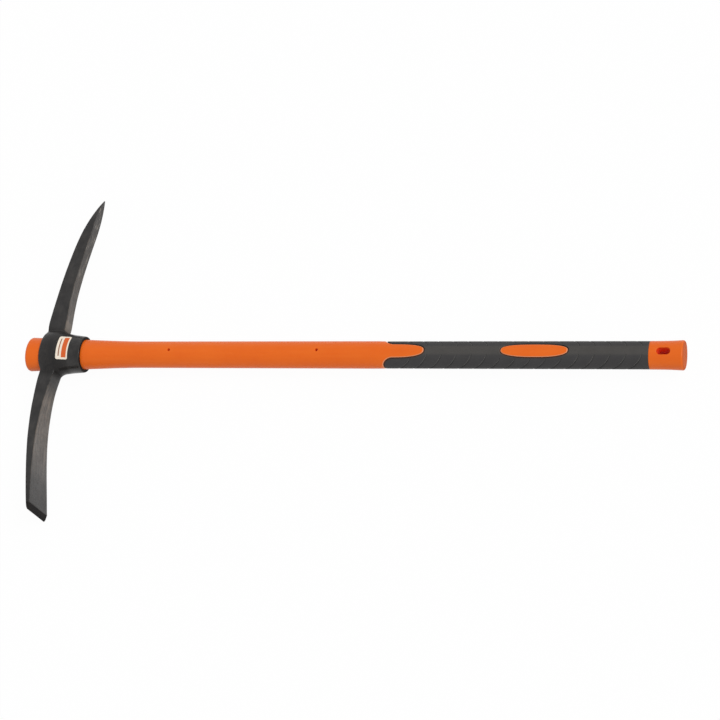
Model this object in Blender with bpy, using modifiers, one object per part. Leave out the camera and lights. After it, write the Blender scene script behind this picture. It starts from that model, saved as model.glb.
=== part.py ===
"""A pickaxe: a forged slip-on head on a fibreglass handle with a moulded jacket and a soft grip.

The tool lies flat. +X runs along the handle to the butt, +Y to the point arm and +Z up from the floor.
Every piece is modelled round the handle's axis, with x = 0 at the handle's head end. An empty then sets
the tool down, so that its footprint is centred on the origin. All sizes are in metres.
"""

import math

import bmesh
import bpy
from mathutils import Vector

# The handle. A half size is a pair: half the width across Y, half the thickness across Z.
HANDLE_LENGTH = 0.900
HANDLE_SIDES = 36
HEAD_END_HALF = (0.0240, 0.0191)
SHAFT_HALF = (0.0181, 0.0163)
WEDGE_LENGTH = 0.125
WEDGE_RUNOUT = 0.050
END_ROUNDING = 0.0042
CORE_RADIUS = 0.0095
CORE_RECESS = 0.0010
CORE_LENGTH = 0.850
PIN_HOLE_RADIUS = 0.0019
PIN_HOLES_AT = (0.2138, 0.4237)

# The grip and the pads of the jacket that show through it.
GRIP_START = 0.5153
GRIP_END = 0.857
GRIP_HALF = (0.0178, 0.0159)
PAD_HALF = (0.0175, 0.0156)
WAIST_HALF = (0.0154, 0.0136)
PAD_CLEARANCE = 0.0007
TONGUE_END = 0.570
TONGUE_HALF_WIDTH = 0.0107
TONGUE_TAPER = 0.045
# The grip's front edge rounds off into the tongue over this length and width, nearly as a chamfer.
LOBE = (0.0110, 0.0068)
LOBE_POWER = 1.6
WINDOW_CENTRE = 0.7130
WINDOW_HALF = (0.0440, 0.0100)
OPENING_POWER = 2.6
GROOVE_PITCH = 0.0197
GROOVE_COUNT = 16
FIRST_GROOVE = 0.5385
# How far a groove climbs and falls from the middle of the flank, and how far beside an opening.
GROOVE_REACH = 0.0145
GROOVE_SHORT_REACH = 0.0118
GROOVE_CLEARANCE = 0.003
GROOVE_HALF_WIDTH = 0.0014
GROOVE_DEPTH = 0.0013
GROOVE_RUNOUT = 0.8
GROOVE_STEPS = 6

# The butt end and its hang slot.
BUTT_HALF = (0.0180, 0.0160)
BUTT_FLARE = 0.0010
BUTT_ROUNDING = 0.0030
SLOT_CENTRE = 0.875
SLOT_LENGTH = 0.0170
SLOT_WIDTH = 0.0090
SLOT_CHAMFER = 0.0008

# The head.
FIT_GAP = 0.0003
EYE_LEFT = 0.0230
EYE_RIGHT = 0.0844
EYE_CHAMFER = 0.0007
# The head-end rim leans out on the point's side by this share of its width there.
RIM_LEAN = 0.05
POINT_REACH = 0.2384
CHISEL_REACH = 0.2333
CHISEL_HALF_WIDTH = 0.0272
EDGE_THICKNESS = 0.0007
BEVEL_LENGTH = 0.0093

# The eye's outside, from its head-end rim to its shaft-side rim:
# x, half width towards the point, half width towards the chisel, half thickness.
EYE_STATIONS = (
    (EYE_LEFT, 0.0292, 0.0276, 0.0214),
    (0.0252, 0.0316, 0.0298, 0.0226),
    (0.0360, 0.0348, 0.0336, 0.0236),
    (0.0485, 0.0325, 0.0311, 0.0236),
    (0.0560, 0.0292, 0.0283, 0.0231),
    (0.0730, 0.0265, 0.0266, 0.0222),
    (0.0815, 0.0257, 0.0262, 0.0217),
    (EYE_RIGHT, 0.0250, 0.0257, 0.0212),
)
# The stations between which the arms leave the eye, and the height of their side faces there.
ARM_ROOT_STATIONS = (1, 2, 3)
POINT_ROOT_HALF = 0.0093
CHISEL_ROOT_HALF = 0.0120

# Each arm, from its root to its end: reach from the handle's axis, x of the outer face,
# x of the inner face (the side of the handle), half thickness.
POINT_STATIONS = (
    (0.0410, 0.0228, 0.0486, 0.0094),
    (0.0780, 0.0257, 0.0468, 0.0096),
    (0.1150, 0.0293, 0.0493, 0.0093),
    (0.1530, 0.0350, 0.0534, 0.0088),
    (0.1830, 0.0415, 0.0574, 0.0090),
    (0.2030, 0.0492, 0.0591, 0.0094),
    (0.2180, 0.0549, 0.0605, 0.0073),
    (0.2300, 0.0588, 0.0621, 0.0038),
    (POINT_REACH, 0.0621, 0.0629, 0.0006),
)
CHISEL_STATIONS = (
    (0.0480, 0.0243, 0.0437, 0.0122),
    (0.0870, 0.0267, 0.0421, 0.0155),
    (0.1230, 0.0319, 0.0439, 0.0190),
    (0.1590, 0.0396, 0.0493, 0.0227),
    (0.1940, 0.0487, 0.0559, 0.0257),
    (CHISEL_REACH - BEVEL_LENGTH, 0.0566, 0.0620, CHISEL_HALF_WIDTH),
    (CHISEL_REACH - 0.0020, 0.0591, 0.0609, CHISEL_HALF_WIDTH),
    (CHISEL_REACH, 0.0598, 0.0598 + EDGE_THICKNESS, CHISEL_HALF_WIDTH - 0.0022),
)
BEVEL_STATION = 5
ARM_EDGE_CREASE = 0.8
# Subdivision draws a ring of the eye's cage in by about this share.
CAGE_SWELL = 1.03
CHEEK_FACES = 5
RIM_INSET = 0.0030
HEAD_SUBDIVISION = 2

COLOURS = {
    "pick_head": ((0.040, 0.040, 0.041), 0.48, 0.75),
    "fibreglass_core": ((0.62, 0.60, 0.42), 0.35, 0.0),
    "handle_jacket": ((0.72, 0.125, 0.020), 0.38, 0.0),
    "soft_grip": ((0.062, 0.060, 0.060), 0.62, 0.0),
}


def clear_scene():
    """Takes away whatever the scene opened with."""
    for obj in list(bpy.data.objects):
        bpy.data.objects.remove(obj, do_unlink=True)


def new_collection(name):
    """A collection under the scene's own."""
    collection = bpy.data.collections.new(name)
    bpy.context.scene.collection.children.link(collection)
    return collection


def new_empty(name, collection, location, parent=None):
    """An empty that carries pieces."""
    empty = bpy.data.objects.new(name, None)
    empty.location = location
    empty.parent = parent
    collection.objects.link(empty)
    return empty


def new_piece(name, bm, carrier):
    """An object in the tool's collection, from a bmesh, with its own material."""
    colour, roughness, metallic = COLOURS[name]
    material = bpy.data.materials.new(name)
    material.use_nodes = True
    shader = material.node_tree.nodes["Principled BSDF"]
    shader.inputs["Base Color"].default_value = (*colour, 1.0)
    shader.inputs["Roughness"].default_value = roughness
    shader.inputs["Metallic"].default_value = metallic
    material.diffuse_color = (*colour, 1.0)
    piece = new_mesh_object(name, bm, PARTS, carrier)
    piece.data.materials.append(material)
    piece.data.shade_smooth()
    piece.data.set_sharp_from_angle(angle=math.radians(35))
    return piece


def new_cutter(name, bm, carrier):
    """A helper that only cuts: hidden in renders and drawn as wire."""
    cutter = new_mesh_object(name, bm, CUTTERS, carrier)
    cutter.hide_render = True
    cutter.display_type = "WIRE"
    return cutter


def new_mesh_object(name, bm, collection, carrier):
    """Writes the bmesh to a mesh object that its carrier holds."""
    bmesh.ops.recalc_face_normals(bm, faces=bm.faces)
    mesh = bpy.data.meshes.new(name)
    bm.to_mesh(mesh)
    bm.free()
    obj = bpy.data.objects.new(name, mesh)
    obj.parent = carrier
    collection.objects.link(obj)
    return obj


def cut(piece, cutter):
    """Takes the cutter's volume out of the piece."""
    modifier = piece.modifiers.new(cutter.name, "BOOLEAN")
    modifier.operation = "DIFFERENCE"
    modifier.solver = "EXACT"
    modifier.object = cutter


def add_loft(bm, rings):
    """Skins closed rings of equal length, one after the other, and caps both ends."""
    skinned = [[bm.verts.new(point) for point in ring] for ring in rings]
    for ring, following in zip(skinned, skinned[1:]):
        for i, corner in enumerate(ring):
            j = (i + 1) % len(ring)
            bm.faces.new((corner, ring[j], following[j], following[i]))
    bm.faces.new(skinned[0])
    bm.faces.new(skinned[-1])


def loft(rings):
    """One lofted solid."""
    bm = bmesh.new()
    add_loft(bm, rings)
    return bm


def prism(outline, half_height):
    """A flat outline in the XY plane, raised the same way up and down."""
    bm = bmesh.new()
    base = bm.faces.new([bm.verts.new((x, y, -half_height)) for x, y in outline])
    raised = bmesh.ops.extrude_face_region(bm, geom=[base])["geom"]
    top = [item for item in raised if isinstance(item, bmesh.types.BMVert)]
    bmesh.ops.translate(bm, verts=top, vec=(0, 0, 2 * half_height))
    return bm


def oval(x, half, grow=0.0):
    """One oval section of the handle at x, grown or shrunk all round."""
    ring = []
    for i in range(HANDLE_SIDES):
        angle = math.tau * (i + 0.5) / HANDLE_SIDES
        ring.append(Vector((x, (half[0] + grow) * math.cos(angle), (half[1] + grow) * math.sin(angle))))
    return ring


def superellipse(centre, half, power, count):
    """Points round a rounder-cornered ellipse."""
    points = []
    for i in range(count):
        angle = math.tau * i / count
        across, up = math.cos(angle), math.sin(angle)
        x = centre[0] + half[0] * math.copysign(abs(across) ** (2 / power), across)
        y = centre[1] + half[1] * math.copysign(abs(up) ** (2 / power), up)
        points.append((x, y))
    return points


def wedge_half(x):
    """Half size of the handle from its head end to the shaft: a straight wedge, then an even curve."""
    if x >= WEDGE_LENGTH + WEDGE_RUNOUT:
        return SHAFT_HALF
    curved = max(0.0, WEDGE_LENGTH + WEDGE_RUNOUT - max(x, WEDGE_LENGTH))
    straight = max(0.0, WEDGE_LENGTH - x)
    share = (curved**2 + 2 * WEDGE_RUNOUT * straight) / (WEDGE_RUNOUT**2 + 2 * WEDGE_RUNOUT * WEDGE_LENGTH)
    return tuple(thin + (wide - thin) * share for wide, thin in zip(HEAD_END_HALF, SHAFT_HALF))


def butt_half(x):
    """Half size of the butt end, which flares towards its end face."""
    share = max(0.0, (x - GRIP_END) / (HANDLE_LENGTH - BUTT_ROUNDING - GRIP_END))
    return tuple(half + BUTT_FLARE * share**3 for half in BUTT_HALF)


def rounded_end(x_face, inward, rounding, half_at):
    """Ovals that turn a flat end face over into the side along a quarter circle, from the face inwards."""
    rings = []
    for step in range(5):
        angle = math.radians(90) * step / 4
        x = x_face + inward * rounding * (1 - math.cos(angle))
        rings.append(oval(x, half_at(x), grow=-rounding * (1 - math.sin(angle))))
    return rings


def jacket_rings():
    """Sections of the jacket's outer surface, from the head end to the butt."""
    rings = rounded_end(0.0, 1, END_ROUNDING, wedge_half)
    for step in range(6):
        x = WEDGE_LENGTH + WEDGE_RUNOUT * step / 5
        rings.append(oval(x, wedge_half(x)))
    rings.append(oval(GRIP_START - 0.012, SHAFT_HALF))
    rings.append(oval(GRIP_START + 0.012, PAD_HALF))
    rings.append(oval(GRIP_END - 0.0004, PAD_HALF))
    rings.append(oval(GRIP_END, BUTT_HALF))
    for step in range(1, 5):
        x = GRIP_END + (HANDLE_LENGTH - BUTT_ROUNDING - GRIP_END) * step / 5
        rings.append(oval(x, butt_half(x)))
    return rings + rounded_end(HANDLE_LENGTH, -1, BUTT_ROUNDING, butt_half)[::-1]


def tongue_outline(clearance):
    """The grip's front edge in plan: two rounded lobes with the jacket's tongue between them."""
    far_side = GRIP_HALF[0] + 0.004
    centre = (GRIP_START + LOBE[0], TONGUE_HALF_WIDTH + LOBE[1])
    side = [(GRIP_START - 0.020, far_side), (GRIP_START - clearance, far_side)]
    for step in range(8):
        angle = math.radians(90) * step / 7
        along = (LOBE[0] + clearance) * math.cos(angle) ** (2 / LOBE_POWER)
        across = (LOBE[1] + clearance) * math.sin(angle) ** (2 / LOBE_POWER)
        side.append((centre[0] - along, centre[1] - across))
    for step in range(1, 10):
        angle = math.radians(90) * step / 9
        along = math.sin(angle) ** (2 / OPENING_POWER)
        across = math.cos(angle) ** (2 / OPENING_POWER) if step < 9 else 0.0
        x = TONGUE_END - TONGUE_TAPER + (TONGUE_TAPER - clearance) * along
        side.append((x, (TONGUE_HALF_WIDTH - clearance) * across))
    return side + [(x, -y) for x, y in side[-2::-1]]


def window_outline(clearance):
    """The grip's oval window in plan."""
    half = (WINDOW_HALF[0] - clearance, WINDOW_HALF[1] - clearance)
    return superellipse((WINDOW_CENTRE, 0.0), half, OPENING_POWER, 32)


def slot_ring(z, grow):
    """One section of the hang slot at z: two half circles joined by straight sides."""
    radius = SLOT_WIDTH / 2 + grow
    offset = (SLOT_LENGTH - SLOT_WIDTH) / 2
    ring = []
    for centre, first in ((SLOT_CENTRE + offset, -90), (SLOT_CENTRE - offset, 90)):
        for step in range(10):
            angle = math.radians(first + 20 * step)
            ring.append(Vector((centre + radius * math.cos(angle), radius * math.sin(angle), z)))
    return ring


def slot_cutter_bmesh():
    """The hang slot, with its rims broken on both faces."""
    face = BUTT_HALF[1]
    return loft(
        [
            slot_ring(-face - 0.004, SLOT_CHAMFER + 0.004),
            slot_ring(-face + SLOT_CHAMFER, 0.0),
            slot_ring(face - SLOT_CHAMFER, 0.0),
            slot_ring(face + 0.004, SLOT_CHAMFER + 0.004),
        ]
    )


def groove_reach(x_middle, end):
    """How far up (end 1) or down (end -1) the flank a groove runs. It stops short beside the openings."""
    x = x_middle + end * GROOVE_REACH
    beside_tongue = x < TONGUE_END + GROOVE_CLEARANCE
    beside_window = abs(x - WINDOW_CENTRE) < WINDOW_HALF[0] + GROOVE_CLEARANCE
    return GROOVE_SHORT_REACH if beside_tongue or beside_window else GROOVE_REACH


def add_groove(bm, x_middle, side):
    """One tread groove: a V that climbs the grip's flank at 45 degrees and runs out at both ends."""
    half_width, half_thickness = GRIP_HALF
    bottom, top = -groove_reach(x_middle, -1), groove_reach(x_middle, 1)
    rings = []
    for step in range(GROOVE_STEPS + 1):
        share = 2 * step / GROOVE_STEPS - 1
        z = bottom + (top - bottom) * step / GROOVE_STEPS
        y = half_width * math.sqrt(1 - (z / half_thickness) ** 2)
        normal = Vector((0, y / half_width**2, z / half_thickness**2)).normalized()
        along = Vector((1, -normal.z / normal.y, 1))
        across = along.cross(normal).normalized()
        depth = GROOVE_DEPTH * (1 - GROOVE_RUNOUT * share**4)
        half = GROOVE_HALF_WIDTH * (depth + GROOVE_DEPTH) / GROOVE_DEPTH
        middle = Vector((x_middle + z, y, z))
        above = middle + normal * GROOVE_DEPTH
        ring = (middle - normal * depth, above + across * half, above - across * half)
        rings.append([Vector((p.x, side * p.y, p.z)) for p in ring])
    add_loft(bm, rings)


def make_core(tool):
    """The fibreglass rod inside the handle."""
    bm = bmesh.new()
    length = CORE_LENGTH - CORE_RECESS
    radius = CORE_RADIUS
    bmesh.ops.create_cone(bm, cap_ends=True, segments=32, radius1=radius, radius2=radius, depth=length)
    core = new_piece("fibreglass_core", bm, tool)
    core.rotation_euler.y = math.radians(90)
    core.location.x = (CORE_LENGTH + CORE_RECESS) / 2
    return core


def cylinder_cutter(name, tool, radius, length, location, along_x=False):
    """A round hole's cutter, upright or along the handle."""
    bm = bmesh.new()
    bmesh.ops.create_cone(bm, cap_ends=True, segments=24, radius1=radius, radius2=radius, depth=length)
    cutter = new_cutter(name, bm, tool)
    cutter.location = location
    if along_x:
        cutter.rotation_euler.y = math.radians(90)
    return cutter


def make_jacket(tool):
    """The orange moulding round the core: flared head end, waist with pads under the grip, flared butt."""
    jacket = new_piece("handle_jacket", loft(jacket_rings()), tool)

    outside = (SHAFT_HALF[0] + 0.006, SHAFT_HALF[1] + 0.006)
    sleeve_rings = [oval(GRIP_START - 0.010, outside), oval(GRIP_END, outside)]
    sleeve = new_cutter("waist_sleeve", loft(sleeve_rings), tool)
    waist_rings = [oval(GRIP_START - 0.020, WAIST_HALF), oval(GRIP_END + 0.010, WAIST_HALF)]
    waist = new_cutter("waist", loft(waist_rings), tool)
    above = outside[1] + 0.005
    tongue_pad = new_cutter("tongue_pad", prism(tongue_outline(PAD_CLEARANCE), above), tool)
    window_pad = new_cutter("window_pad", prism(window_outline(PAD_CLEARANCE), above), tool)
    for kept in (waist, tongue_pad, window_pad):
        cut(sleeve, kept)
    cut(jacket, sleeve)

    bore_length = CORE_LENGTH + FIT_GAP + 0.010
    bore_middle = (bore_length / 2 - 0.010, 0, 0)
    cut(jacket, cylinder_cutter("core_bore", tool, CORE_RADIUS + FIT_GAP, bore_length, bore_middle, True))
    for number, x in enumerate(PIN_HOLES_AT, 1):
        cut(jacket, cylinder_cutter(f"pin_hole_{number}", tool, PIN_HOLE_RADIUS, 2 * above, (x, 0, 0)))
    cut(jacket, new_cutter("hang_slot", slot_cutter_bmesh(), tool))
    return jacket


def make_grip(tool):
    """The soft sleeve in the jacket's waist, open over the tongue and the two windows, with tread grooves."""
    start, end = GRIP_START - 0.002, GRIP_END - FIT_GAP
    rings = [oval(start, GRIP_HALF)]
    for number in range(GROOVE_COUNT + 1):
        rings.append(oval(FIRST_GROOVE + (number - 0.5) * GROOVE_PITCH, GRIP_HALF))
    rings.append(oval(end, GRIP_HALF))
    grip = new_piece("soft_grip", loft(rings), tool)

    inside = loft([oval(start - 0.010, WAIST_HALF, FIT_GAP), oval(end + 0.010, WAIST_HALF, FIT_GAP)])
    cut(grip, new_cutter("grip_bore", inside, tool))
    above = GRIP_HALF[1] + 0.005
    cut(grip, new_cutter("tongue_opening", prism(tongue_outline(0.0), above), tool))
    cut(grip, new_cutter("window_opening", prism(window_outline(0.0), above), tool))
    grooves = bmesh.new()
    for number in range(GROOVE_COUNT):
        for side in (1, -1):
            add_groove(grooves, FIRST_GROOVE + number * GROOVE_PITCH, side)
    cut(grip, new_cutter("tread_grooves", grooves, tool))
    return grip


def eye_half_ring(station, shrink=0.0):
    """The upper half of one section of the eye's cage, from the point over the cheek to the chisel."""
    x, to_point, to_chisel, thick = station
    lean = RIM_LEAN * max(0.0, 1 - (x - EYE_LEFT) / (EYE_STATIONS[2][0] - EYE_LEFT))
    height = (thick - shrink) * CAGE_SWELL
    first = math.asin(POINT_ROOT_HALF / height)
    last = math.pi - math.asin(CHISEL_ROOT_HALF / height)
    cheek = [first + (last - first) * step / CHEEK_FACES for step in range(CHEEK_FACES + 1)]
    ring = []
    for angle in (0.0, *cheek, math.pi):
        width = (to_point if math.cos(angle) > 0 else to_chisel) - shrink
        y = width * CAGE_SWELL * math.cos(angle)
        ring.append(Vector((x - lean * max(y, 0.0), y, height * math.sin(angle))))
    return ring


def arm_half_ring(station, side):
    """The upper half of one section of an arm's cage, from its outer face over the side to its inner face."""
    reach, outer, inner, half = station
    y = side * reach
    corners = ((outer, 0.0), (outer, half), ((outer + inner) / 2, half), (inner, half), (inner, 0.0))
    return [Vector((x, y, z)) for x, z in corners]


def skin_open(bm, row, following):
    """Quads between two open rows of corners."""
    for i in range(len(row) - 1):
        bm.faces.new((row[i], row[i + 1], following[i + 1], following[i]))


def add_arm(bm, root, stations, side, creases):
    """Draws an arm out of the eye's flank, section by section, and closes its end. Returns its rows."""
    rows = [root]
    for station in stations:
        row = rows[-1]
        following = [bm.verts.new(point) for point in arm_half_ring(station, side)]
        skin_open(bm, row, following)
        for corner in (1, 3):
            bm.edges.get((row[corner], following[corner]))[creases] = ARM_EDGE_CREASE
        rows.append(following)
    end = rows[-1]
    bm.faces.new(end)
    for corner, neighbour in zip(end, end[1:]):
        bm.edges.get((corner, neighbour))[creases] = 1.0
    return rows


def head_cage():
    """The upper half of the head's cage, open at the plane of the arms."""
    bm = bmesh.new()
    creases = bm.edges.layers.float.new("crease_edge")
    left_inset = eye_half_ring(EYE_STATIONS[0], RIM_INSET)
    right_inset = eye_half_ring(EYE_STATIONS[-1], RIM_INSET)
    sections = [left_inset, *(eye_half_ring(station) for station in EYE_STATIONS), right_inset]
    rows = [[bm.verts.new(point) for point in section] for section in sections]
    last = len(rows[0]) - 1
    for i, (row, following) in enumerate(zip(rows, rows[1:])):
        station = i - 1
        under_arm = ARM_ROOT_STATIONS[0] <= station < ARM_ROOT_STATIONS[-1]
        first, end = (1, last - 1) if under_arm else (0, last)
        skin_open(bm, row[first : end + 1], following[first : end + 1])
    bm.faces.new(rows[0])
    bm.faces.new(rows[-1])

    arm_rows = [rows[station + 1] for station in ARM_ROOT_STATIONS]
    for flank, edge, stations, side in ((0, 1, POINT_STATIONS, 1), (last, last - 1, CHISEL_STATIONS, -1)):
        root = [arm_rows[0][flank], *(row[edge] for row in arm_rows), arm_rows[-1][flank]]
        rows = add_arm(bm, root, stations, side, creases)
    inner_edge = rows[BEVEL_STATION + 1][3:]
    bm.edges.get(inner_edge)[creases] = 1.0
    return bm


def make_head(carrier):
    """The forging: a subdivided cage mirrored across the arms' plane, with the tapered eye cut through."""
    head = new_piece("pick_head", head_cage(), carrier)
    mirror = head.modifiers.new("both_halves", "MIRROR")
    mirror.use_axis = (False, False, True)
    mirror.merge_threshold = 0.0001
    smooth = head.modifiers.new("forged_form", "SUBSURF")
    smooth.levels = HEAD_SUBDIVISION
    smooth.render_levels = HEAD_SUBDIVISION

    past, chamfer = 0.003, EYE_CHAMFER
    rings = [
        oval(EYE_LEFT - past, wedge_half(EYE_LEFT), FIT_GAP + chamfer + past),
        oval(EYE_LEFT + chamfer, wedge_half(EYE_LEFT + chamfer), FIT_GAP),
        oval(EYE_RIGHT - chamfer, wedge_half(EYE_RIGHT - chamfer), FIT_GAP),
        oval(EYE_RIGHT + past, wedge_half(EYE_RIGHT), FIT_GAP + chamfer + past),
    ]
    cut(head, new_cutter("tapered_eye", loft(rings), carrier))
    return head


clear_scene()
PARTS = new_collection("pickaxe")
CUTTERS = new_collection("cutters")
TOOL = new_empty("tool", PARTS, (-HANDLE_LENGTH / 2, (CHISEL_REACH - POINT_REACH) / 2, CHISEL_HALF_WIDTH))
HEAD_CARRIER = new_empty("head_on_handle", PARTS, (0, 0, 0), TOOL)
make_core(TOOL)
make_jacket(TOOL)
make_grip(TOOL)
make_head(HEAD_CARRIER)
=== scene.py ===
import functools
import itertools
import logging
import math
from collections.abc import Callable, Iterable, Sequence
from dataclasses import dataclass
from enum import Enum

import bmesh
import bpy
from mathutils import Matrix, Vector, noise
from mathutils.bvhtree import BVHTree


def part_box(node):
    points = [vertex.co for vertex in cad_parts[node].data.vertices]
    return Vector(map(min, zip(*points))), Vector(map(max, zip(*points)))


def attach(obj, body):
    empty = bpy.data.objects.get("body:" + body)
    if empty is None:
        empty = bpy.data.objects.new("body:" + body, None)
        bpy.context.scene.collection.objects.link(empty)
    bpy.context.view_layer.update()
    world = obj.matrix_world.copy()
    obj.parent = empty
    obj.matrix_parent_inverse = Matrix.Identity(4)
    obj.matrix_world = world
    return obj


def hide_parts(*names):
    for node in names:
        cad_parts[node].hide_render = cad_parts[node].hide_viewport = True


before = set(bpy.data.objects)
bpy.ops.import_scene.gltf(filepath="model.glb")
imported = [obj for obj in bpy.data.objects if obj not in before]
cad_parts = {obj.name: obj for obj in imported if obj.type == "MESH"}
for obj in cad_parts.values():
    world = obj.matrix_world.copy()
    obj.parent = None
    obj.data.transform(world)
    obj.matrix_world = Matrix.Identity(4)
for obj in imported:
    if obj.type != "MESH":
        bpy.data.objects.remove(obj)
bpy.context.view_layer.update()

LOG = logging.getLogger("pickaxe")
SHARP_ANGLE = math.radians(34)
MERGE_DISTANCE = 2e-6
MILLIMETRE = 0.001
# How far a rounded edge keeps from the next ring, so that the faces beside it stay even.
EDGE_SUPPORT = 0.0004

Pair = tuple[float, float]
Half = tuple[float, float]
Range = tuple[float, float]
Point = tuple[float, float]
Plan = list[Point]
Table = Sequence[Pair]
Depths = tuple[float, ...]
Axes = tuple[float, float, float]
Colour = tuple[float, float, float]
Station = tuple[float, float, float]
Stations = tuple[tuple[float, ...], ...]
Ring = list[Vector]
HalfAt = Callable[[float], Half]
PlanAt = Callable[[float], Plan]
Corners = list[bmesh.types.BMVert]
Socket = bpy.types.NodeSocket
Sockets = bpy.types.bpy_prop_collection
Tree = bpy.types.NodeTree
Mesh = bpy.types.Mesh
Material = bpy.types.Material
Object = bpy.types.Object


class Body(Enum):
    """The bodies of the tool that move against each other."""

    HANDLE = "handle"
    HEAD = "head"


class Part(Enum):
    """The tool's CAD nodes, which are also the names of their finishes in the record."""

    HEAD = "pick_head"
    CORE = "fibreglass_core"
    JACKET = "handle_jacket"
    GRIP = "soft_grip"


class Lip(Enum):
    """Which side of an outline keeps the rounded edge."""

    OUTSIDE = 1
    INSIDE = -1


class Face(Enum):
    """The faces of the handle as it lies."""

    UPPER = 1
    LOWER = -1


class Wiring:
    """Adds nodes to a node tree and wires them."""

    def __init__(self, tree: Tree) -> None:
        """Takes the shader or geometry node tree that the nodes go into."""
        self.tree = tree

    def add(self, kind: str, inputs: dict | None = None, **settings: object) -> bpy.types.Node:
        """Adds one node.

        Args:
            kind: The node's type, such as ShaderNodeMath.
            inputs: Values or sockets for its inputs, by name or place.
            settings: Properties of the node.

        Returns:
            The node.
        """
        node = self.tree.nodes.new(kind)
        for name, value in settings.items():
            setattr(node, name, value)
        for key, value in (inputs or {}).items():
            if isinstance(value, Socket):
                self.tree.links.new(value, node.inputs[key])
            else:
                node.inputs[key].default_value = value
        return node

    def math(self, operation: str, *values: object) -> Socket:
        """Works out an operation on numbers or sockets."""
        return self.add("ShaderNodeMath", dict(enumerate(values)), operation=operation).outputs[0]

    def times(self, first: object, second: object) -> Socket:
        """Multiplies two numbers or sockets."""
        return self.math("MULTIPLY", first, second)

    def largest(self, *values: Socket) -> Socket:
        """The largest of several values."""
        return functools.reduce(functools.partial(self.math, "MAXIMUM"), values)

    def split(self, vector: Socket) -> Sockets:
        """The X, Y and Z of a vector."""
        return self.add("ShaderNodeSeparateXYZ", {0: vector}).outputs

    def vector(self, *parts: Socket) -> Socket:
        """A vector from its x, y and z, in that order. Those that are left out are 0."""
        return self.add("ShaderNodeCombineXYZ", dict(enumerate(parts))).outputs[0]

    def stretched(self, vector: Socket, factors: Axes) -> Socket:
        """Stretches a vector along x, y and z."""
        return self.add("ShaderNodeVectorMath", {0: vector, 1: factors}, operation="MULTIPLY").outputs[0]

    def ranged(self, value: Socket, target: Range = (0.0, 1.0), source: Range = (0.0, 1.0)) -> Socket:
        """Maps a value from the source range to the target range and clamps it."""
        return self.add("ShaderNodeMapRange", dict(enumerate((value, *source, *target)))).outputs[0]

    def mixed(self, share: Socket, first: object, second: object) -> Socket:
        """Mixes two colours.

        Args:
            share: The second colour's share.
            first: The first colour.
            second: The second colour.

        Returns:
            The mixed colour.
        """
        colours = [value if isinstance(value, Socket) else (*value, 1.0) for value in (first, second)]
        # The node has sockets for every type: 6 and 7 take its two colours, and 2 gives the mixed one.
        inputs = {0: share, 6: colours[0], 7: colours[1]}
        return self.add("ShaderNodeMix", inputs, data_type="RGBA").outputs[2]

    def layered(self, colour: object, *layers: tuple[Socket, object]) -> Socket:
        """Lays colours over a first one.

        Args:
            colour: The first colour.
            layers: Each a mask and the colour that shows where it is 1, from the lowest to the highest.

        Returns:
            The colour of all of them together.
        """
        for mask, covering in layers:
            colour = self.mixed(mask, colour, covering)
        return colour


def new_group(name: str, kind: str, inputs: dict[str, str], outputs: dict[str, str]) -> Wiring:
    """Makes an empty node group with its sockets.

    Args:
        name: The group's name.
        kind: Its tree type.
        inputs: The inputs' types by name.
        outputs: The outputs' types by name.

    Returns:
        The wiring of the group.
    """
    tree = bpy.data.node_groups.new(name, kind)
    for side, sockets in (("INPUT", inputs), ("OUTPUT", outputs)):
        for label, socket_type in sockets.items():
            tree.interface.new_socket(name=label, in_out=side, socket_type="NodeSocket" + socket_type)
    return Wiring(tree)


def hand_out(wiring: Wiring, geometry: Socket, material: Socket) -> None:
    """Ends a geometry tree: what it made becomes real and takes the material.

    Args:
        wiring: The tree's wiring.
        geometry: What it made.
        material: The material that it was given.
    """
    real = wiring.add("GeometryNodeRealizeInstances", {"Geometry": geometry}).outputs[0]
    dressed = wiring.add("GeometryNodeSetMaterial", {"Geometry": real, "Material": material}).outputs[0]
    wiring.add("NodeGroupOutput", {0: dressed})


def input_key(tree: Tree, name: str) -> str:
    """Finds the identifier of a group's input by its name."""
    sockets = [item for item in tree.interface.items_tree if item.item_type == "SOCKET"]
    return next(item.identifier for item in sockets if item.in_out == "INPUT" and item.name == name)


def new_object(name: str, mesh: Mesh) -> Object:
    """Links a new object that holds the mesh.

    Args:
        name: The object's name.
        mesh: Its mesh.

    Returns:
        The object.
    """
    obj = bpy.data.objects.new(name, mesh)
    bpy.context.scene.collection.objects.link(obj)
    return obj


def written(name: str, bm: bmesh.types.BMesh) -> Mesh:
    """Writes a bmesh to a new mesh, with its faces pointing out, and frees it.

    Args:
        name: The mesh's name.
        bm: The bmesh.

    Returns:
        The mesh.
    """
    bmesh.ops.recalc_face_normals(bm, faces=bm.faces)
    mesh = bpy.data.meshes.new(name)
    bm.to_mesh(mesh)
    bm.free()
    return mesh


def skinned(name: str, rings: Sequence[Ring], closed: bool = False) -> Mesh:
    """Skins rings of equal length, one after the other.

    Args:
        name: The mesh's name.
        rings: The rings, in order.
        closed: Whether the last ring meets the first. If not, both ends are capped.

    Returns:
        The mesh.
    """
    bm = bmesh.new()
    rows = [[bm.verts.new(point) for point in ring] for ring in rings]
    count = len(rows[0])
    for row, following in zip(rows, rows[1:] + (rows[:1] if closed else [])):
        for i in range(count):
            j = (i + 1) % count
            bm.faces.new((row[i], row[j], following[j], following[i]))
    if not closed:
        bm.faces.new(rows[0])
        bm.faces.new(rows[-1])
    return written(name, bm)


def joined(name: str, meshes: Iterable[Mesh]) -> Mesh:
    """Puts several meshes into a new one.

    Args:
        name: The new mesh's name.
        meshes: The meshes.

    Returns:
        The new mesh.
    """
    bm = bmesh.new()
    for mesh in meshes:
        bm.from_mesh(mesh)
    return written(name, bm)


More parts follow.
